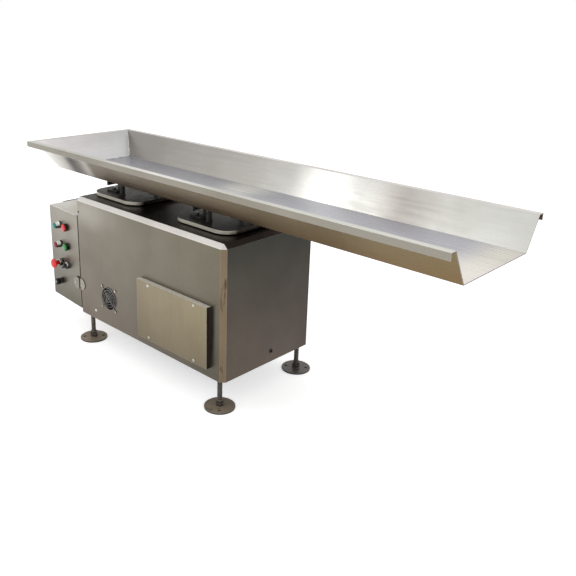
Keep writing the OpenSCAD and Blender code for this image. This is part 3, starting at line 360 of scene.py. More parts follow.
def brushed_steel(name, dark, light, stretch, roughness, faces=(), marks=(), edge=(226, 224, 220),
                  edge_radius=0.0015, edge_reach=3.0, grain_depth=0.00004, streaks=0.3, fine=0.6,
                  end_stretch=None, metallic=1.0):
    """Belt-ground sheet: streaks between two swatches, cloudy handling marks, bright edges.
    Each face is a direction, how sharply it sets in, a swatch of painted light or shade or its sheet's
    painted tones, and for a face made less metallic so that its painted tone shows how metallic it still is.
    Each mark is a direction, a stretch, a size, how rare it is, and the stain's swatch. The end stretch is
    the grain's on faces along x."""
    steel = bpy.data.materials.new(name)
    steel.use_nodes = True
    tree = steel.node_tree
    shader = tree.nodes["Principled BSDF"]
    where = add_node(tree, "ShaderNodeTexCoord")
    grain = grouped(tree, grain_group, Stretch=stretch)
    tree.links.new(where.outputs["Object"], grain.inputs["Position"])
    if end_stretch:
        ahead = grouped(tree, facing_group, Direction=along_x, From=0.35, To=0.5)
        tree.links.new(where.outputs["Normal"], ahead.inputs["Normal"])
        chosen = add_node(tree, "ShaderNodeMix", data_type="VECTOR", in_4=stretch, in_5=end_stretch)
        tree.links.new(ahead.outputs["Mask"], chosen.inputs[0])
        tree.links.new(chosen.outputs[1], grain.inputs["Stretch"])
    edges = grouped(tree, edge_group, Radius=edge_radius, Reach=edge_reach)
    streak = scaled(tree, grain.outputs["Streak"], 0, 1, 0.35, 0.65)
    colour = mixed(tree, streak, dark, light)

    def turned(direction, start, end):
        mask = grouped(tree, facing_group, Direction=Vector(direction).normalized(), From=start, To=end)
        tree.links.new(where.outputs["Normal"], mask.inputs["Normal"])
        return mask.outputs["Mask"]

    metal = metallic
    # Each listed face gets a tone of its own, painted light or shade for the way it looks, and may be made
    # less metallic so that its painted tone shows.
    for direction, (start, end), tone, *painted_face_metal in faces:
        if callable(tone):
            tone = tone(tree, drifted(tree, where.outputs["Object"]))
        mask = turned(direction, start, end)
        colour = mixed(tree, mask, colour, tone)
        if painted_face_metal:
            duller = add_node(tree, "ShaderNodeMix", data_type="FLOAT", in_3=painted_face_metal[0])
            feed(tree, metal, duller.inputs[2])
            tree.links.new(mask, duller.inputs[0])
            metal = duller.outputs[0]
    for direction, pull, size, rare, stain in marks:
        pulled = add_node(tree, "ShaderNodeVectorMath", operation="MULTIPLY", in_1=pull)
        tree.links.new(where.outputs["Object"], pulled.inputs[0])
        spot = scaled(tree, noise(tree, pulled.outputs[0], size, 4, 0.65), 0, 1, rare, rare + 0.12)
        where_marked = add_node(tree, "ShaderNodeMath", operation="MULTIPLY", use_clamp=True)
        tree.links.new(spot, where_marked.inputs[0])
        tree.links.new(turned(direction, 0.9, 0.98), where_marked.inputs[1])
        colour = mixed(tree, where_marked.outputs[0], colour, stain)
    for layer, low, high, span, wash in (("Streak", streaks, 0, (0.35, 0.6), (218, 216, 212)),
                                         ("Cloud", 0, 0.4, (0.42, 0.7), (218, 214, 208)),
                                         ("Grain", fine, 0, (0.35, 0.6), (226, 226, 226))):
        strength = scaled(tree, grain.outputs[layer], low, high, *span)
        colour = mixed(tree, strength, colour, wash, blend="MULTIPLY")
    tree.links.new(mixed(tree, edges.outputs["Mask"], colour, edge), shader.inputs["Base Color"])
    rough = add_node(tree, "ShaderNodeMath", operation="ADD")
    tree.links.new(scaled(tree, grain.outputs["Grain"], roughness - 0.06, roughness + 0.08, 0.3, 0.7),
                   rough.inputs[0])
    tree.links.new(scaled(tree, grain.outputs["Cloud"], -0.04, 0.1, 0.35, 0.7), rough.inputs[1])
    tree.links.new(rough.outputs[0], shader.inputs["Roughness"])
    bump = add_node(tree, "ShaderNodeBump")
    bump.inputs["Strength"].default_value = 0.6
    bump.inputs["Distance"].default_value = grain_depth
    height = add_node(tree, "ShaderNodeMath", operation="SUBTRACT")
    tree.links.new(grain.outputs["Grain"], height.inputs[0])
    tree.links.new(grain.outputs["Scratch"], height.inputs[1])
    tree.links.new(height.outputs[0], bump.inputs["Height"])
    tree.links.new(edges.outputs["Normal"], bump.inputs["Normal"])
    tree.links.new(bump.outputs[0], shader.inputs["Normal"])
    feed(tree, metal, shader.inputs["Metallic"])
    return steel


def made_piece(name, shape, finish, smooth=True):
    """Turns a closed bmesh into a piece with one finish, its faces looking outward."""
    bmesh.ops.recalc_face_normals(shape, faces=shape.faces)
    if shape.calc_volume(signed=True) < 0:
        bmesh.ops.reverse_faces(shape, faces=shape.faces)
    mesh = bpy.data.meshes.new(name)
    shape.to_mesh(mesh)
    shape.free()
    for face in mesh.polygons:
        face.use_smooth = smooth
    mesh.materials.append(finish)
    piece = bpy.data.objects.new(name, mesh)
    scene.collection.objects.link(piece)
    return piece


def close_rings(shape, rings):
    """Makes a stack of rings of points a solid: walls between them, a lid at each end."""
    for lower, upper in zip(rings, rings[1:]):
        for k in range(len(lower)):
            after = (k + 1) % len(lower)
            shape.faces.new((lower[k], lower[after], upper[after], upper[k]))
    shape.faces.new(rings[0])
    shape.faces.new(list(reversed(rings[-1])))


def keep_piece(piece, body, slot, *replaced):
    """Puts a made piece on its body, with the solids it stands for; its finish slot is not used."""
    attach(piece, body)
    if replaced:
        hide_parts(*replaced)


# Painted light on the plates' tops: the lit tone at the front, the shaded one at the rear.
foot_lit, foot_shaded, stance, plate_height = (175, 160, 140), (95, 90, 85), 0.2, 0.01
foot_top = painted_sheet_light((along_y, -stance, stance), (upright, 0, plate_height),
                       (foot_lit, foot_shaded), (foot_lit, foot_shaded))
foot_steel = brushed_steel("foot_steel", (52, 46, 40), (84, 76, 66), (30, 30, 4), 0.38,
                           faces=[(upright, (0.5, 0.9), foot_top)],
                           marks=[(upright, (1, 1, 1), 26, 0.6, (105, 85, 65))],
                           edge=(150, 140, 126), edge_radius=0.002, metallic=0.3)
thread_steel = brushed_steel("thread_steel", (60, 56, 52), (120, 114, 108), (6, 6, 60), 0.3,
                             edge_radius=0.0006)
feet = ("foot_front_left", "foot_front_right", "foot_rear_left", "foot_rear_right")
dress(foot_steel, *feet, "foot_lock_nuts")
break_edges(0.0006, 2, *feet, "foot_lock_nuts")

rod_radius, thread_pitch, thread_depth, thread_sink = 0.008, 0.002, 0.0009, 0.0004
crest_half, root_half = 0.12, 0.42
steps_per_turn, fade_steps = 28, 20


def helical_thread(name, centre, low, high):
    """Trapezoid thread as one closed ribbon wound up a rod, fading out at both ends."""
    turns = (high - low) / thread_pitch
    steps = int(turns * steps_per_turn)
    profile = ((0, -root_half), (thread_depth, -crest_half), (thread_depth, crest_half), (0, root_half))
    shape = bmesh.new()
    rings = []
    for i in range(steps + 1):
        angle = 2 * math.pi * turns * i / steps
        rise = low + (high - low) * i / steps
        fade = min(1, i / fade_steps, (steps - i) / fade_steps)
        ring = []
        for depth, lift in profile:
            reach = rod_radius - thread_sink + depth * fade
            ring.append(shape.verts.new((centre.x + reach * math.cos(angle),
                                         centre.y + reach * math.sin(angle),
                                         rise + lift * thread_pitch)))
        rings.append(ring)
    close_rings(shape, rings)
    return made_piece(name, shape, thread_steel)


def centre_of(node):
    low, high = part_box(node)
    return (low + high) / 2


nut_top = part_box("foot_lock_nuts")[1].z
hood_low, hood_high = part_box("cabinet_hood")
above_nut, below_hood = 0.001, 0.0005
for foot in feet:
    thread = helical_thread(foot.replace("foot", "thread"), centre_of(foot),
                            nut_top + above_nut, hood_low.z - below_hood)
    keep_piece(thread, "cabinet", "foot_steel")


# ---------------------------------------------------------------- cabinet
# Folded and welded stainless sheet, belt-ground upright on the front and the end, with chamfers ground along
# the top and a mitred facet at the corner. Its faces carry painted light and shade: the front painted paler
# towards the upper left, the end and the top painted in shade, the front chamfer painted bright.
# Painted light and shade on the front and the end, with a painted highlight near the front's left end.
case_front = painted_sheet_light((along_x, hood_low.x, hood_high.x), (upright, hood_low.z, hood_high.z),
                         ((120, 110, 100), (100, 95, 85)), ((135, 130, 120), (115, 110, 95)),
                         ((-0.56, -0.22, 0.56), (0.26, 1, 0.09), (165, 160, 150)))
case_end = painted_sheet_light((along_y, hood_low.y, hood_high.y), (upright, hood_low.z, hood_high.z),
                       ((105, 95, 85), (90, 80, 75)), ((60, 60, 55), (50, 50, 45)))
case_steel = brushed_steel(
    "case_steel", (120, 110, 100), (140, 135, 120), (14, 14, 0.8), 0.34,
    # Painted light and shade for each way a face looks: the top and the end chamfer painted dark, the front
    # chamfer and the corner's upper facet painted bright, the corner facet in a painted tone of its own.
    faces=[(frontward, wide_face, case_front),
           (along_x, wide_face, case_end),
           (along_y, wide_face, (120, 110, 100)),
           (upright, (0.9, 0.98), (75, 65, 60)),
           ((1, -1, 0), narrow_face, (125, 110, 90)),
           ((0, -1, 1), narrow_face, (240, 235, 230), 0.6),
           ((1, 0, 1), narrow_face, (65, 55, 50), 0.3),
           ((1, -1, 1), narrow_face, (230, 225, 220))],
    marks=[((1, -1, 0), (5, 5, 1), 9, 0.58, (78, 60, 46)),
           ((1, 0, 1), (1, 1, 1), 9, 0.55, (82, 60, 52))],
    edge=(206, 200, 188), streaks=0.12, fine=0.25)
dress(case_steel, "cabinet_hood")
break_edges(0.0012, 2, "cabinet_hood")


def turned_ring(name, profile, steps, finish):
    """A ring turned about the z axis from pairs of radius and height, closed on itself."""
    shape = bmesh.new()
    rings = []
    for i in range(steps):
        angle = 2 * math.pi * i / steps
        rings.append([shape.verts.new((r * math.cos(angle), r * math.sin(angle), z)) for r, z in profile])
    for i in range(steps):
        here, there = rings[i], rings[(i + 1) % steps]
        for a in range(len(profile)):
            b = (a + 1) % len(profile)
            shape.faces.new((here[a], there[a], there[b], here[b]))
    return made_piece(name, shape, finish)


def set_on(piece, point, outward):
    """Stands a piece that was made about the z axis at a point, facing outward."""
    turn = Vector(outward).to_track_quat("Z", "Y").to_matrix().to_4x4()
    piece.data.transform(Matrix.Translation(point) @ turn)
    return piece


black_rubber = coated("black_rubber", (30, 29, 28), (54, 53, 52), 0.6, texture_depth=0.0002)
cable_hole_side, cable_hole_height = 0.013, 0.040
bore, neck, flange, tail = 0.0042, 0.0054, 0.0084, -0.0022
grommet_profile = [(bore, tail), (bore, 0.0012), (bore + 0.001, 0.0024), (flange - 0.0006, 0.0018),
                   (flange, 0.0004), (flange - 0.0002, 0.0), (neck, 0.0), (neck, tail)]
grommet = turned_ring("cable_grommet", grommet_profile, 40, black_rubber)
set_on(grommet, (hood_high.x, cable_hole_side, hood_low.z + cable_hole_height), along_x)
keep_piece(grommet, "cabinet", "black_rubber")
corner_screw_inset, corner_screw_height, socket_radius = 0.006, 0.518, 0.0004
corner_screw_profile = [(socket_radius, 0.0010), (0.0022, 0.0012), (0.0034, 0.0008), (0.0038, 0.0),
                        (socket_radius, 0.0)]
corner_screw = turned_ring("corner_screw", corner_screw_profile, 24, black_rubber)
set_on(corner_screw, (hood_low.x + corner_screw_inset, hood_low.y, corner_screw_height), frontward)
keep_piece(corner_screw, "cabinet", "black_plastic")


# ---------------------------------------------------------------- fan
# A moulded black fan behind the front sheet, under a dull wire grille that four screws
# hold at its eyelets.
black_moulding = coated("black_moulding", (22, 22, 23), (56, 55, 54), 0.42)
guard_wire = brushed_steel("guard_wire", (110, 108, 104), (160, 158, 154), (40, 40, 40), 0.3,
                           edge_radius=0.0006, edge_reach=1.0, grain_depth=0.00001)
screw_steel = brushed_steel("screw_steel", (185, 180, 170), (215, 210, 200), (40, 40, 40), 0.22,
                            edge_radius=0.0006, edge_reach=1.0, grain_depth=0.00001)
dress(black_moulding, "fan_frame", "fan_rotor")
break_edges(0.0005, 2, "fan_frame")
dress(guard_wire, "fan_guard")
dress(screw_steel, "fan_screws", "case_screws")


# ---------------------------------------------------------------- service cover
# A shallow folded pan over the service opening, held by four domed screws. Its top flange is painted bright,
# a painted highlight, its end flange is painted dark, painted shade, and its front is painted a little
# lighter towards the top.
cover_low, cover_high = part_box("service_cover")
# Painted light on the cover's front: a little lighter towards the top.
cover_front = painted_sheet_light((along_x, cover_low.x, cover_high.x), (upright, cover_low.z, cover_high.z),
                          ((125, 115, 95), (125, 115, 95)), ((140, 130, 110), (145, 135, 110)))
cover_steel = brushed_steel(
    "cover_steel", (130, 120, 100), (145, 135, 115), (12, 12, 1.2), 0.32,
    # Painted light and shade: the top flange painted bright, the end flange painted dark.
    faces=[(frontward, wide_face, cover_front),
           (upright, wide_face, (235, 230, 220), 0.1),
           (along_x, wide_face, (60, 50, 45), 0.5)],
    edge=(222, 216, 204), streaks=0.15, fine=0.3)
dress(cover_steel, "service_cover")
break_edges(0.0012, 2, "service_cover")


# ---------------------------------------------------------------- control box
# Folded stainless box on the cabinet's end, with a black bow handle on its left side. A
# zinc-plated back plate inside it carries the finned vibration controller.
# The box's top is painted bright, a painted highlight, and made less metallic so that it shows.
box_steel = brushed_steel("box_steel", (135, 130, 120), (150, 140, 130), (13, 13, 0.9), 0.34,
                          faces=[(upright, wide_face, (222, 217, 206), 0.5)], edge=(214, 208, 198),
                          streaks=0.15, fine=0.3)
dress(box_steel, "control_box")
break_edges(0.0012, 2, "control_box")
dress(black_moulding, "box_handle", "door_catch")
zinc_steel = brushed_steel("zinc_steel", (188, 188, 188), (206, 206, 206), (20, 20, 20), 0.35)
dress(zinc_steel, "mounting_plate", "speed_pot", "panel_nuts")
fin_aluminium = brushed_steel("fin_aluminium", (148, 150, 152), (174, 176, 178), (30, 30, 2), 0.42)
dress(fin_aluminium, "vibration_controller")
break_edges(0.0006, 2, "vibration_controller")


# ---------------------------------------------------------------- control door
# Folded stainless pan that carries the controls. It hangs on a half-round leaf hinge, one
# screw to a leaf, with a pivot bracket above.
record_joints = {joint["name"]: joint for joint in frame["record"]["behaviour"]["joints"]}
panel_out = Vector(record_joints["speed_turn"]["axis"]).normalized()
panel_right = Vector(upright).cross(panel_out)
panel_reach = max(v.co.dot(panel_out) for v in frame["nodes"]["control_door"].data.vertices)
door_low, door_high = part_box("control_door")
# Painted light on the door's face: darker towards the bottom, lighter towards the top; its top edge is
# painted bright.
door_front = painted_sheet_light((along_x, door_low.x, door_high.x), (upright, door_low.z, door_high.z),
                         ((90, 85, 75), (100, 95, 80)), ((150, 145, 135), (155, 150, 140)))
door_steel = brushed_steel("door_steel", (110, 105, 95), (135, 130, 120), (12, 12, 0.9), 0.32,
                           faces=[(panel_out, wide_face, door_front),
                                  (upright, wide_face, (226, 220, 210), 0.5)], edge=(206, 200, 190),
                           streaks=0.12, fine=0.3)
dress(door_steel, "control_door")
break_edges(0.0012, 2, "control_door")
hinge_steel = brushed_steel("hinge_steel", (150, 145, 135), (170, 165, 155), (30, 30, 30), 0.4,
                            edge=(205, 200, 190), edge_radius=0.0006)
dress(hinge_steel, "hinge_pin", "door_hinge_leaf", "cabinet_hinge_leaf")
# Faces that look down are painted dark: painted shade on the chromed parts' undersides.
bright_steel = brushed_steel("bright_steel", (204, 202, 198), (226, 224, 220), (40, 40, 40), 0.16,
                             faces=[((0, 0, -1), (-0.45, 0.1), (50, 48, 46))],
                             edge_radius=0.0006, edge_reach=2.0, grain_depth=0.00001)
dress(bright_steel, "pivot_bracket")


def on_panel(point):
    """The spot on the panel's face in front of a point."""
    point = Vector(point)
    return point + panel_out * (panel_reach - point.dot(panel_out))


leaf_round, leaf_thick, leaf_root, leaf_bevel, leaf_drop = 0.0235, 0.0032, 0.0050, 0.0005, 0.004
leaf_steps = 28
screw_profile = [(0.0011, 0.0012), (0.0016, 0.0026), (0.0032, 0.0021), (0.0044, 0.0009), (0.0046, 0.0),
                 (0.0011, 0.0)]


def hinge_leaf(side, body, seat, run, outward, length, screw_reach):
    """A half-round leaf, clear of the knuckle so that the hinge opens, and its domed screw."""
    shape = bmesh.new()
    layers = []
    for depth, inset in ((0.0, 0.0), (leaf_thick - leaf_bevel, 0.0), (leaf_thick, leaf_bevel)):
        radius = leaf_round - inset
        outline = [(leaf_root + inset, -radius), (leaf_root + inset, radius)]
        outline += [(length - leaf_round + radius * math.sin(a), radius * math.cos(a))
                    for a in (math.pi * k / leaf_steps for k in range(leaf_steps + 1))]
        layers.append([shape.verts.new(seat + run * x + Vector(upright) * z + outward * depth)
                       for x, z in outline])
    close_rings(shape, layers)
    keep_piece(made_piece(f"{side}_leaf", shape, hinge_steel, smooth=False), body, "bright_steel")
    screw = turned_ring(f"{side}_leaf_screw", screw_profile, 28, screw_steel)
    set_on(screw, seat + run * screw_reach + outward * leaf_thick, outward)
    keep_piece(screw, body, "bright_steel")


hinge_line = Vector(record_joints["door_hinge"]["pos_m"])
hinge_height = centre_of("door_hinge_leaf").z - leaf_drop
hinge_seat = Vector((hinge_line.x, hood_low.y, hinge_height))
hinge_leaf("case", "cabinet", hinge_seat, Vector(along_x), Vector(frontward), length=0.030,
           screw_reach=0.012)
hinge_leaf("door", "door", on_panel(hinge_seat), -panel_right, panel_out, length=0.046,
           screw_reach=0.027)


# ---------------------------------------------------------------- controls
# Standard 22 mm controls: two push buttons with large caps in black housings, two lamps
# whose lenses stand out on chromed noses, a selector, a mushroom emergency stop, and a
# fluted speed knob with a silver cap. Each is turned or moulded round its own axis.
stop_red = coated("stop_red", (225, 25, 20), (230, 70, 60), 0.28, coat=0.4, texture_depth=0.00003)
start_green = coated("start_green", (10, 130, 50), (40, 160, 85), 0.28, coat=0.4, texture_depth=0.00003)
lens_teal = coated("lens_teal", (36, 140, 128), (84, 176, 168), 0.15, coat=0.6, texture_depth=0.00003)
lens_maroon = coated("lens_maroon", (150, 40, 46), (174, 76, 80), 0.15, coat=0.6, texture_depth=0.00003)
block_grey = coated("block_grey", (202, 200, 194), (216, 214, 210), 0.5)
dress(block_grey, "contact_blocks")
break_edges(0.0006, 2, "contact_blocks")

# A turned profile stops this far from its axis
turned_core = 0.0002


def dome(edge, base, rise, steps=6):
    """The last part of a turned profile: a quarter round from the edge to the centre."""
    return [(max(edge * math.cos(a), turned_core), base + rise * math.sin(a))
            for a in (math.pi / 2 * k / steps for k in range(steps + 1))]


bezel_radius, stem_foot = 0.01475, 0.0020
housing_profile = [(0.0146, 0.0), (0.0156, 0.0), (0.0156, 0.0056), (0.0152, 0.0064), (0.0146, 0.0064)]
cap_profile = [(turned_core, 0.0043), (0.0144, 0.0043), (0.0144, 0.0092)] + dome(0.0136, 0.0104, 0.0023)
nose_profile = [(0.0112, 0.0), (bezel_radius, 0.0), (bezel_radius, 0.0034), (0.0140, 0.0040),
                (0.0130, 0.0044), (0.0130, 0.0172), (0.0124, 0.0180), (0.0112, 0.0180)]
lens_profile = [(turned_core, 0.010), (0.0110, 0.010)] + dome(0.0110, 0.0215, 0.0065)
collar_profile = [(0.0092, 0.0), (0.0150, 0.0), (0.0150, 0.0096), (0.0139, 0.0120), (0.0092, 0.0120)]
mushroom_profile = [(turned_core, stem_foot), (0.0088, stem_foot), (0.0090, 0.0220), (0.0110, 0.0255),
                    (0.0186, 0.0280)] + dome(0.0206, 0.0302, 0.0118)


def fit_control(name, profile, finish, seat, body, slot, replaced):
    """Turns a control and stands it on the panel, in front of the middle of its seat."""
    control = turned_ring(name, profile, 56, finish)
    set_on(control, on_panel(centre_of(seat)), panel_out)
    keep_piece(control, body, slot, replaced)


for button, plastic, slot in (("start", start_green, "green_plastic"), ("stop", stop_red, "red_plastic")):
    housing = f"{button}_housing"
    fit_control(f"{button}_ring", housing_profile, black_moulding, housing, "door", "black_plastic", housing)
    fit_control(f"{button}_button_cap", cap_profile, plastic, housing, f"{button}_button", slot,
                f"{button}_cap")
for lamp, glass, slot in (("power", lens_teal, "teal_lens"), ("fault", lens_maroon, "maroon_lens")):
    bezel = f"{lamp}_lamp_bezel"
    fit_control(f"{lamp}_lamp_nose", nose_profile, bright_steel, bezel, "door", "bright_steel", bezel)
    fit_control(f"{lamp}_lamp_dome", lens_profile, glass, bezel, "door", slot, f"{lamp}_lamp_lens")
fit_control("stop_collar", collar_profile, bright_steel, "estop_collar", "door", "bright_steel",
            "estop_collar")
fit_control("stop_mushroom", mushroom_profile, stop_red, "estop_collar", "emergency_stop", "red_plastic",
            "estop_head")

selector_seat = on_panel(record_joints["selector_turn"]["pos_m"])
disc_radius, disc_foot, disc_sides, nose_steps = 0.0119, 0.0008, 40, 10
lever_long, lever_wide, lever_foot, lever_top = 0.0280, 0.0080, 0.0094, 0.0215
lever_bevel, lever_draft, lever_sink = 0.0014, 0.0003, 0.001
selector_profile = [(0.0121, 0.0), (bezel_radius, 0.0), (bezel_radius, 0.0062), (0.0137, 0.0086),
                    (0.0121, 0.0086)]
selector_ring = turned_ring("selector_ring", selector_profile, 56, bright_steel)
set_on(selector_ring, selector_seat, panel_out)
keep_piece(selector_ring, "door", "bright_steel", "selector_collar")
lever = bmesh.new()
disc_angles = [2 * math.pi * k / disc_sides for k in range(disc_sides)]
close_rings(lever, [[lever.verts.new((disc_radius * math.cos(a), disc_radius * math.sin(a), height))
                     for a in disc_angles] for height in (disc_foot, lever_foot)])
bar_rings = []
for height, shrink in ((lever_foot - lever_sink, 0.0), (lever_top - lever_bevel, lever_draft),
                       (lever_top, lever_bevel)):
    half, nose = (lever_long - lever_wide) / 2, lever_wide / 2 - shrink
    plan = [(half + nose * math.cos(a), nose * math.sin(a))
            for a in (math.pi * (k / nose_steps - 0.5) for k in range(nose_steps + 1))]
    plan += [(-x, -y) for x, y in plan]
    bar_rings.append([lever.verts.new((x, y, height)) for x, y in plan])
close_rings(lever, bar_rings)
selector_lever = made_piece("selector_lever", lever, black_moulding, smooth=False)
lever_line = (panel_right + Vector(upright)).normalized()
lever_frame = Matrix((lever_line, panel_out.cross(lever_line), panel_out)).transposed().to_4x4()
selector_lever.data.transform(Matrix.Translation(selector_seat) @ lever_frame)
keep_piece(selector_lever, "selector", "black_plastic", "selector_knob")

knob_seat = on_panel(record_joints["speed_turn"]["pos_m"])
flute_count, flute_depth, flute_inside, flute_foot = 24, 0.022, 0.0115, 0.001
knob_profile = [(turned_core, 0.0008), (0.0128, 0.0008), (0.0130, 0.0173), (0.0123, 0.0196), (0.0094, 0.0200),
                (turned_core, 0.0200)]
fluted_knob = turned_ring("fluted_knob", knob_profile, 144, black_moulding)
for vertex in fluted_knob.data.vertices:
    if math.hypot(vertex.co.x, vertex.co.y) > flute_inside and vertex.co.z > flute_foot:
        angle = math.atan2(vertex.co.y, vertex.co.x)
        flute = 1 + flute_depth * math.cos(flute_count * angle)
        vertex.co.x, vertex.co.y = vertex.co.x * flute, vertex.co.y * flute
set_on(fluted_knob, knob_seat, panel_out)
keep_piece(fluted_knob, "speed_control", "black_plastic", "speed_knob")
knob_cap_profile = [(turned_core, 0.0214), (0.0078, 0.0214), (0.0089, 0.0208), (0.0091, 0.0198),
                    (turned_core, 0.0198)]
knob_cap = turned_ring("speed_knob_cap", knob_cap_profile, 48, bright_steel)
set_on(knob_cap, knob_seat, panel_out)
keep_piece(knob_cap, "speed_control", "bright_steel")


# ---------------------------------------------------------------- drives
# Two enamelled bases on rubber isolators inside the cabinet. From each, two leaning packs
# of glass-fibre leaves carry a top plate, and a magnet pulls at the armature under it.
drive_enamel = coated("drive_enamel", (112, 122, 128), (150, 150, 150), 0.45, spots=50,
                      texture_depth=0.0003)
castings = ("drive_base_1", "drive_base_2", "top_plate_1", "top_plate_2")
dress(drive_enamel, *castings)
break_edges(0.0015, 2, *castings)
core_varnish = coated("core_varnish", (102, 78, 56), (148, 136, 122), 0.35, spots=90)
dress(core_varnish, "magnet_1", "magnet_2", "armature_1", "armature_2")
leaf_laminate = coated("leaf_laminate", (154, 144, 96), (186, 180, 148), 0.4, spots=120)
dress(leaf_laminate, "spring_left_1", "spring_right_1", "spring_left_2", "spring_right_2")
dress(black_rubber, "isolators", "spacer_sleeves")


# ---------------------------------------------------------------- lids and brackets
# Dished lids over the cabinet's two openings, one to a drive; black brackets bolted
# through them and rubber sleeves on studs carry the tray.
# The lids are coloured dark, painted shade under the tray; their front skirts are painted bright, a painted
# highlight, and their tops painted dark.
lid_steel = brushed_steel(
    "lid_steel", (60, 54, 48), (78, 70, 62), (1.2, 12, 12), 0.3,
    faces=[(frontward, (0.2, 0.7), (225, 220, 205), 0.4), (upright, wide_face, (65, 60, 55), 0.4)],
    edge=(120, 112, 102), edge_reach=1.0)
dress(lid_steel, "lid_1", "lid_2")
break_edges(0.002, 3, "lid_1", "lid_2")
black_paint = coated("black_paint", (26, 25, 24), (86, 84, 82), 0.35)
dress(black_paint, "tray_bracket_1", "tray_bracket_2")
break_edges(0.0008, 2, "tray_bracket_1", "tray_bracket_2")
dress(bright_steel, "bracket_bolts")
# The studs are coloured dark.
dark_stud_steel = brushed_steel("dark_stud_steel", (52, 48, 44), (84, 80, 76), (30, 30, 30), 0.3, edge_radius=0.0006)
dress(dark_stud_steel, "spacer_studs")


# ---------------------------------------------------------------- tray
# One folded trough of satin stainless, ground along its length, with a flat rim and a turned-down lip. Its
# walls lean out, and its cut end is coloured dark brown. Each sheet carries painted light and shade with
# painted reflections, and the underside is painted in shade.
tray_low, tray_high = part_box("tray")
wall_height, wall_run, end_run = 0.098, 0.056, 0.084
rim_width, lip_height, sheet = 0.022, 0.020, 0.0025
body_low = tray_high.z - wall_height
floor_level = body_low + sheet
rim_half, rim_start = tray_high.y - rim_width, tray_low.x + rim_width
floor_half, floor_start = rim_half - wall_run, rim_start + end_run
below_rim, above_floor = body_low + 0.09, body_low + 0.05
near_wall_in = Vector((0, wall_height, wall_run)).normalized()
far_wall_in = Vector((0, -wall_height, wall_run)).normalized()
end_wall_in = Vector((wall_height, 0, end_run))
whole_length = (along_x, tray_low.x, tray_high.x)
wall_rise = (upright, floor_level, tray_high.z)
painted_glare_x = 0.24
# The far wall's inside: painted light, lighter towards the discharge end, with a painted glare at
# painted_glare_x and a duller painted reflection beyond it.
far_wall = painted_sheet_light(whole_length, wall_rise,
                       ((150, 145, 140), (210, 210, 205)), ((145, 140, 135), (205, 205, 200)),
                       ((painted_glare_x + 0.3, 0.2, floor_level + 0.08), (0.16, 1, 0.2), (170, 165, 160)),
                       ((painted_glare_x, 0.2, floor_level + 0.05), (0.16, 1, 0.3), (245, 245, 240)))
# The near wall's inside: painted light, lighter towards the discharge end.
near_wall = painted_sheet_light(whole_length, wall_rise,
                        ((170, 165, 160), (200, 200, 195)), ((180, 175, 170), (205, 205, 200)))
# The trough floor: painted light, lighter towards the discharge end, with a painted highlight in the middle
# and a warm painted highlight at the discharge end.
trough_floor = painted_sheet_light(whole_length, (along_y, -floor_half, floor_half),
                           ((180, 180, 185), (220, 220, 230)), ((155, 155, 160), (215, 215, 225)),
                           ((-0.05, 0.14, floor_level), (0.16, 0.14, 1), (245, 245, 240)),
                           ((tray_high.x, 0, floor_level), (0.14, 1, 1), (250, 245, 235)))
# The rims: painted light, lighter towards the discharge end, with a painted highlight on the near rim.
near_rim = painted_sheet_light(whole_length, (along_y, -rim_half, rim_half),
                       ((185, 185, 175), (215, 215, 205)), ((190, 185, 180), (225, 220, 215)),
                       ((-0.1, -0.24, tray_high.z), (0.3, 1, 1), (235, 230, 225)))
# The lip: painted light, lighter at its top than at its bottom.
lip_tone = painted_sheet_light(whole_length, (upright, tray_high.z - lip_height, tray_high.z),
                       ((120, 115, 110), (125, 120, 110)), ((150, 145, 135), (145, 140, 130)))
# The near wall's outside: painted shade, darker and browner towards the bottom, with painted reflections: a
# broad bright one at the left end, and a dark and a bright upright band near it.
outer_wall = painted_sheet_light(whole_length, (upright, body_low, tray_high.z),
                         ((95, 85, 80), (125, 100, 65)), ((120, 115, 105), (125, 110, 80)),
                         ((tray_low.x, -0.2, body_low + 0.05), (0.34, 1, 1), (240, 240, 235)),
                         ((-0.66, -0.2, body_low + 0.05), (0.06, 1, 1), (60, 60, 55)),
                         ((-0.57, -0.2, body_low + 0.05), (0.05, 1, 1), (165, 160, 155)))
# The end wall's inside: painted light, lighter towards its near top and its far bottom.
end_wall = painted_sheet_light((along_y, -rim_half, rim_half), wall_rise,
                       ((180, 180, 180), (215, 215, 215)), ((210, 205, 205), (185, 185, 185)))


def rim_or_floor(tree, place):
    """Level faces are the rim above and the trough's floor below; the change lies between."""
    return mixed(tree, along(tree, place, upright, above_floor, below_rim),
                 trough_floor(tree, place), near_rim(tree, place))


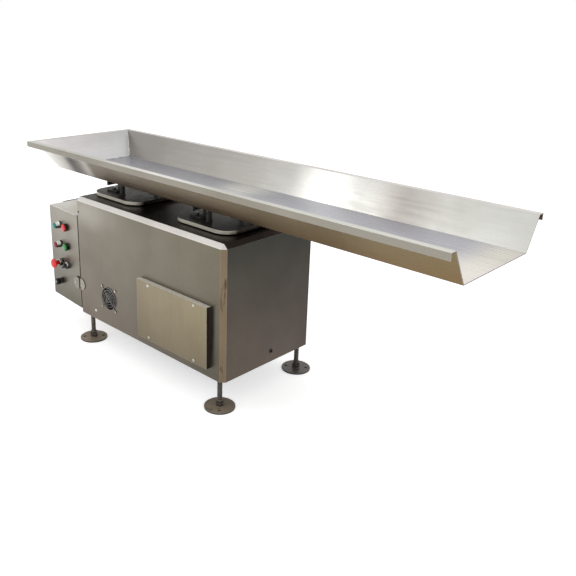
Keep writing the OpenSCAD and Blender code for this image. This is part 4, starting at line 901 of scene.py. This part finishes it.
tray_steel = brushed_steel(
    "tray_steel", (185, 185, 185), (210, 210, 210), (0.7, 12, 12), 0.3, streaks=0.15, fine=0.15,
    end_stretch=(12, 0.7, 12), grain_depth=0.00002,
    # Painted light and shade for each way a face looks: the sheets' painted tones, the far wall's outside and
    # the underside painted in shade, the end wall's outside painted bright, the cut end coloured dark brown.
    faces=[(far_wall_in, tray_face, far_wall),
           (near_wall_in, tray_face, near_wall),
           (-near_wall_in, tray_face, outer_wall),
           (-far_wall_in, tray_face, (110, 100, 90)),
           (upright, tray_face, rim_or_floor, 0.6),
           (frontward, tray_face, lip_tone),
           (end_wall_in, tray_face, end_wall),
           (-end_wall_in, tray_face, (220, 220, 220)),
           ((0, 0, -1), tray_face, (90, 85, 75)),
           (along_x, tray_face, (75, 50, 35))],
    edge=(236, 234, 230), edge_reach=2.0)
dress(tray_steel, "tray")
break_edges(0.0012, 2, "tray")

weld_steel = brushed_steel("weld_steel", (195, 194, 190), (235, 234, 230), (60, 60, 60), 0.28,
                           marks=[(upright, (1, 1, 1), 60, 0.5, (96, 88, 78))], edge_reach=1.0)
ripple_pitch, ripple_sides, bead_wander = 0.0012, 10, 0.0001
bead_lift, bead_inset, bead_end_gap = 0.001, 0.0012, 0.002
corner_bead, floor_bead = 0.0019, 0.0016
bead_waist, bead_ripple, bead_unrest, bead_tip, ripple_turn = 0.88, 0.12, 0.06, 0.4, 1.05
ripples = random.Random(7)


def weld_bead(name, start, end, radius):
    """A hand-laid bead along an inside corner: overlapping ripples of uneven width."""
    start, run = Vector(start), Vector(end) - Vector(start)
    ahead = run.normalized()
    side = ahead.orthogonal().normalized()
    over = ahead.cross(side)
    steps = int(run.length / ripple_pitch)
    shape = bmesh.new()
    rings = []
    for i in range(steps + 1):
        ripple = bead_ripple * abs(math.sin(i * ripple_turn))
        swell = radius * (bead_waist + ripple + bead_unrest * ripples.random())
        if i in (0, steps):
            swell *= bead_tip
        centre = start + run * (i / steps) + side * ripples.uniform(-bead_wander, bead_wander)
        rings.append([shape.verts.new(centre + (side * math.cos(a) + over * math.sin(a)) * swell)
                      for a in (2 * math.pi * k / ripple_sides for k in range(ripple_sides))])
    close_rings(shape, rings)
    keep_piece(made_piece(name, shape, weld_steel), "tray", "tray_steel")


for side_name, side in (("near", -1), ("far", 1)):
    weld_bead(f"corner_weld_{side_name}",
              (floor_start + bead_lift, side * (floor_half - bead_inset), floor_level + bead_lift),
              (rim_start + bead_lift, side * (rim_half - bead_inset), tray_high.z - bead_end_gap),
              corner_bead)
floor_weld_x, floor_weld_z = floor_start + 0.0008, floor_level + 0.0006
weld_bead("floor_weld", (floor_weld_x, bead_end_gap - floor_half, floor_weld_z),
          (floor_weld_x, floor_half - bead_end_gap, floor_weld_z), floor_bead)
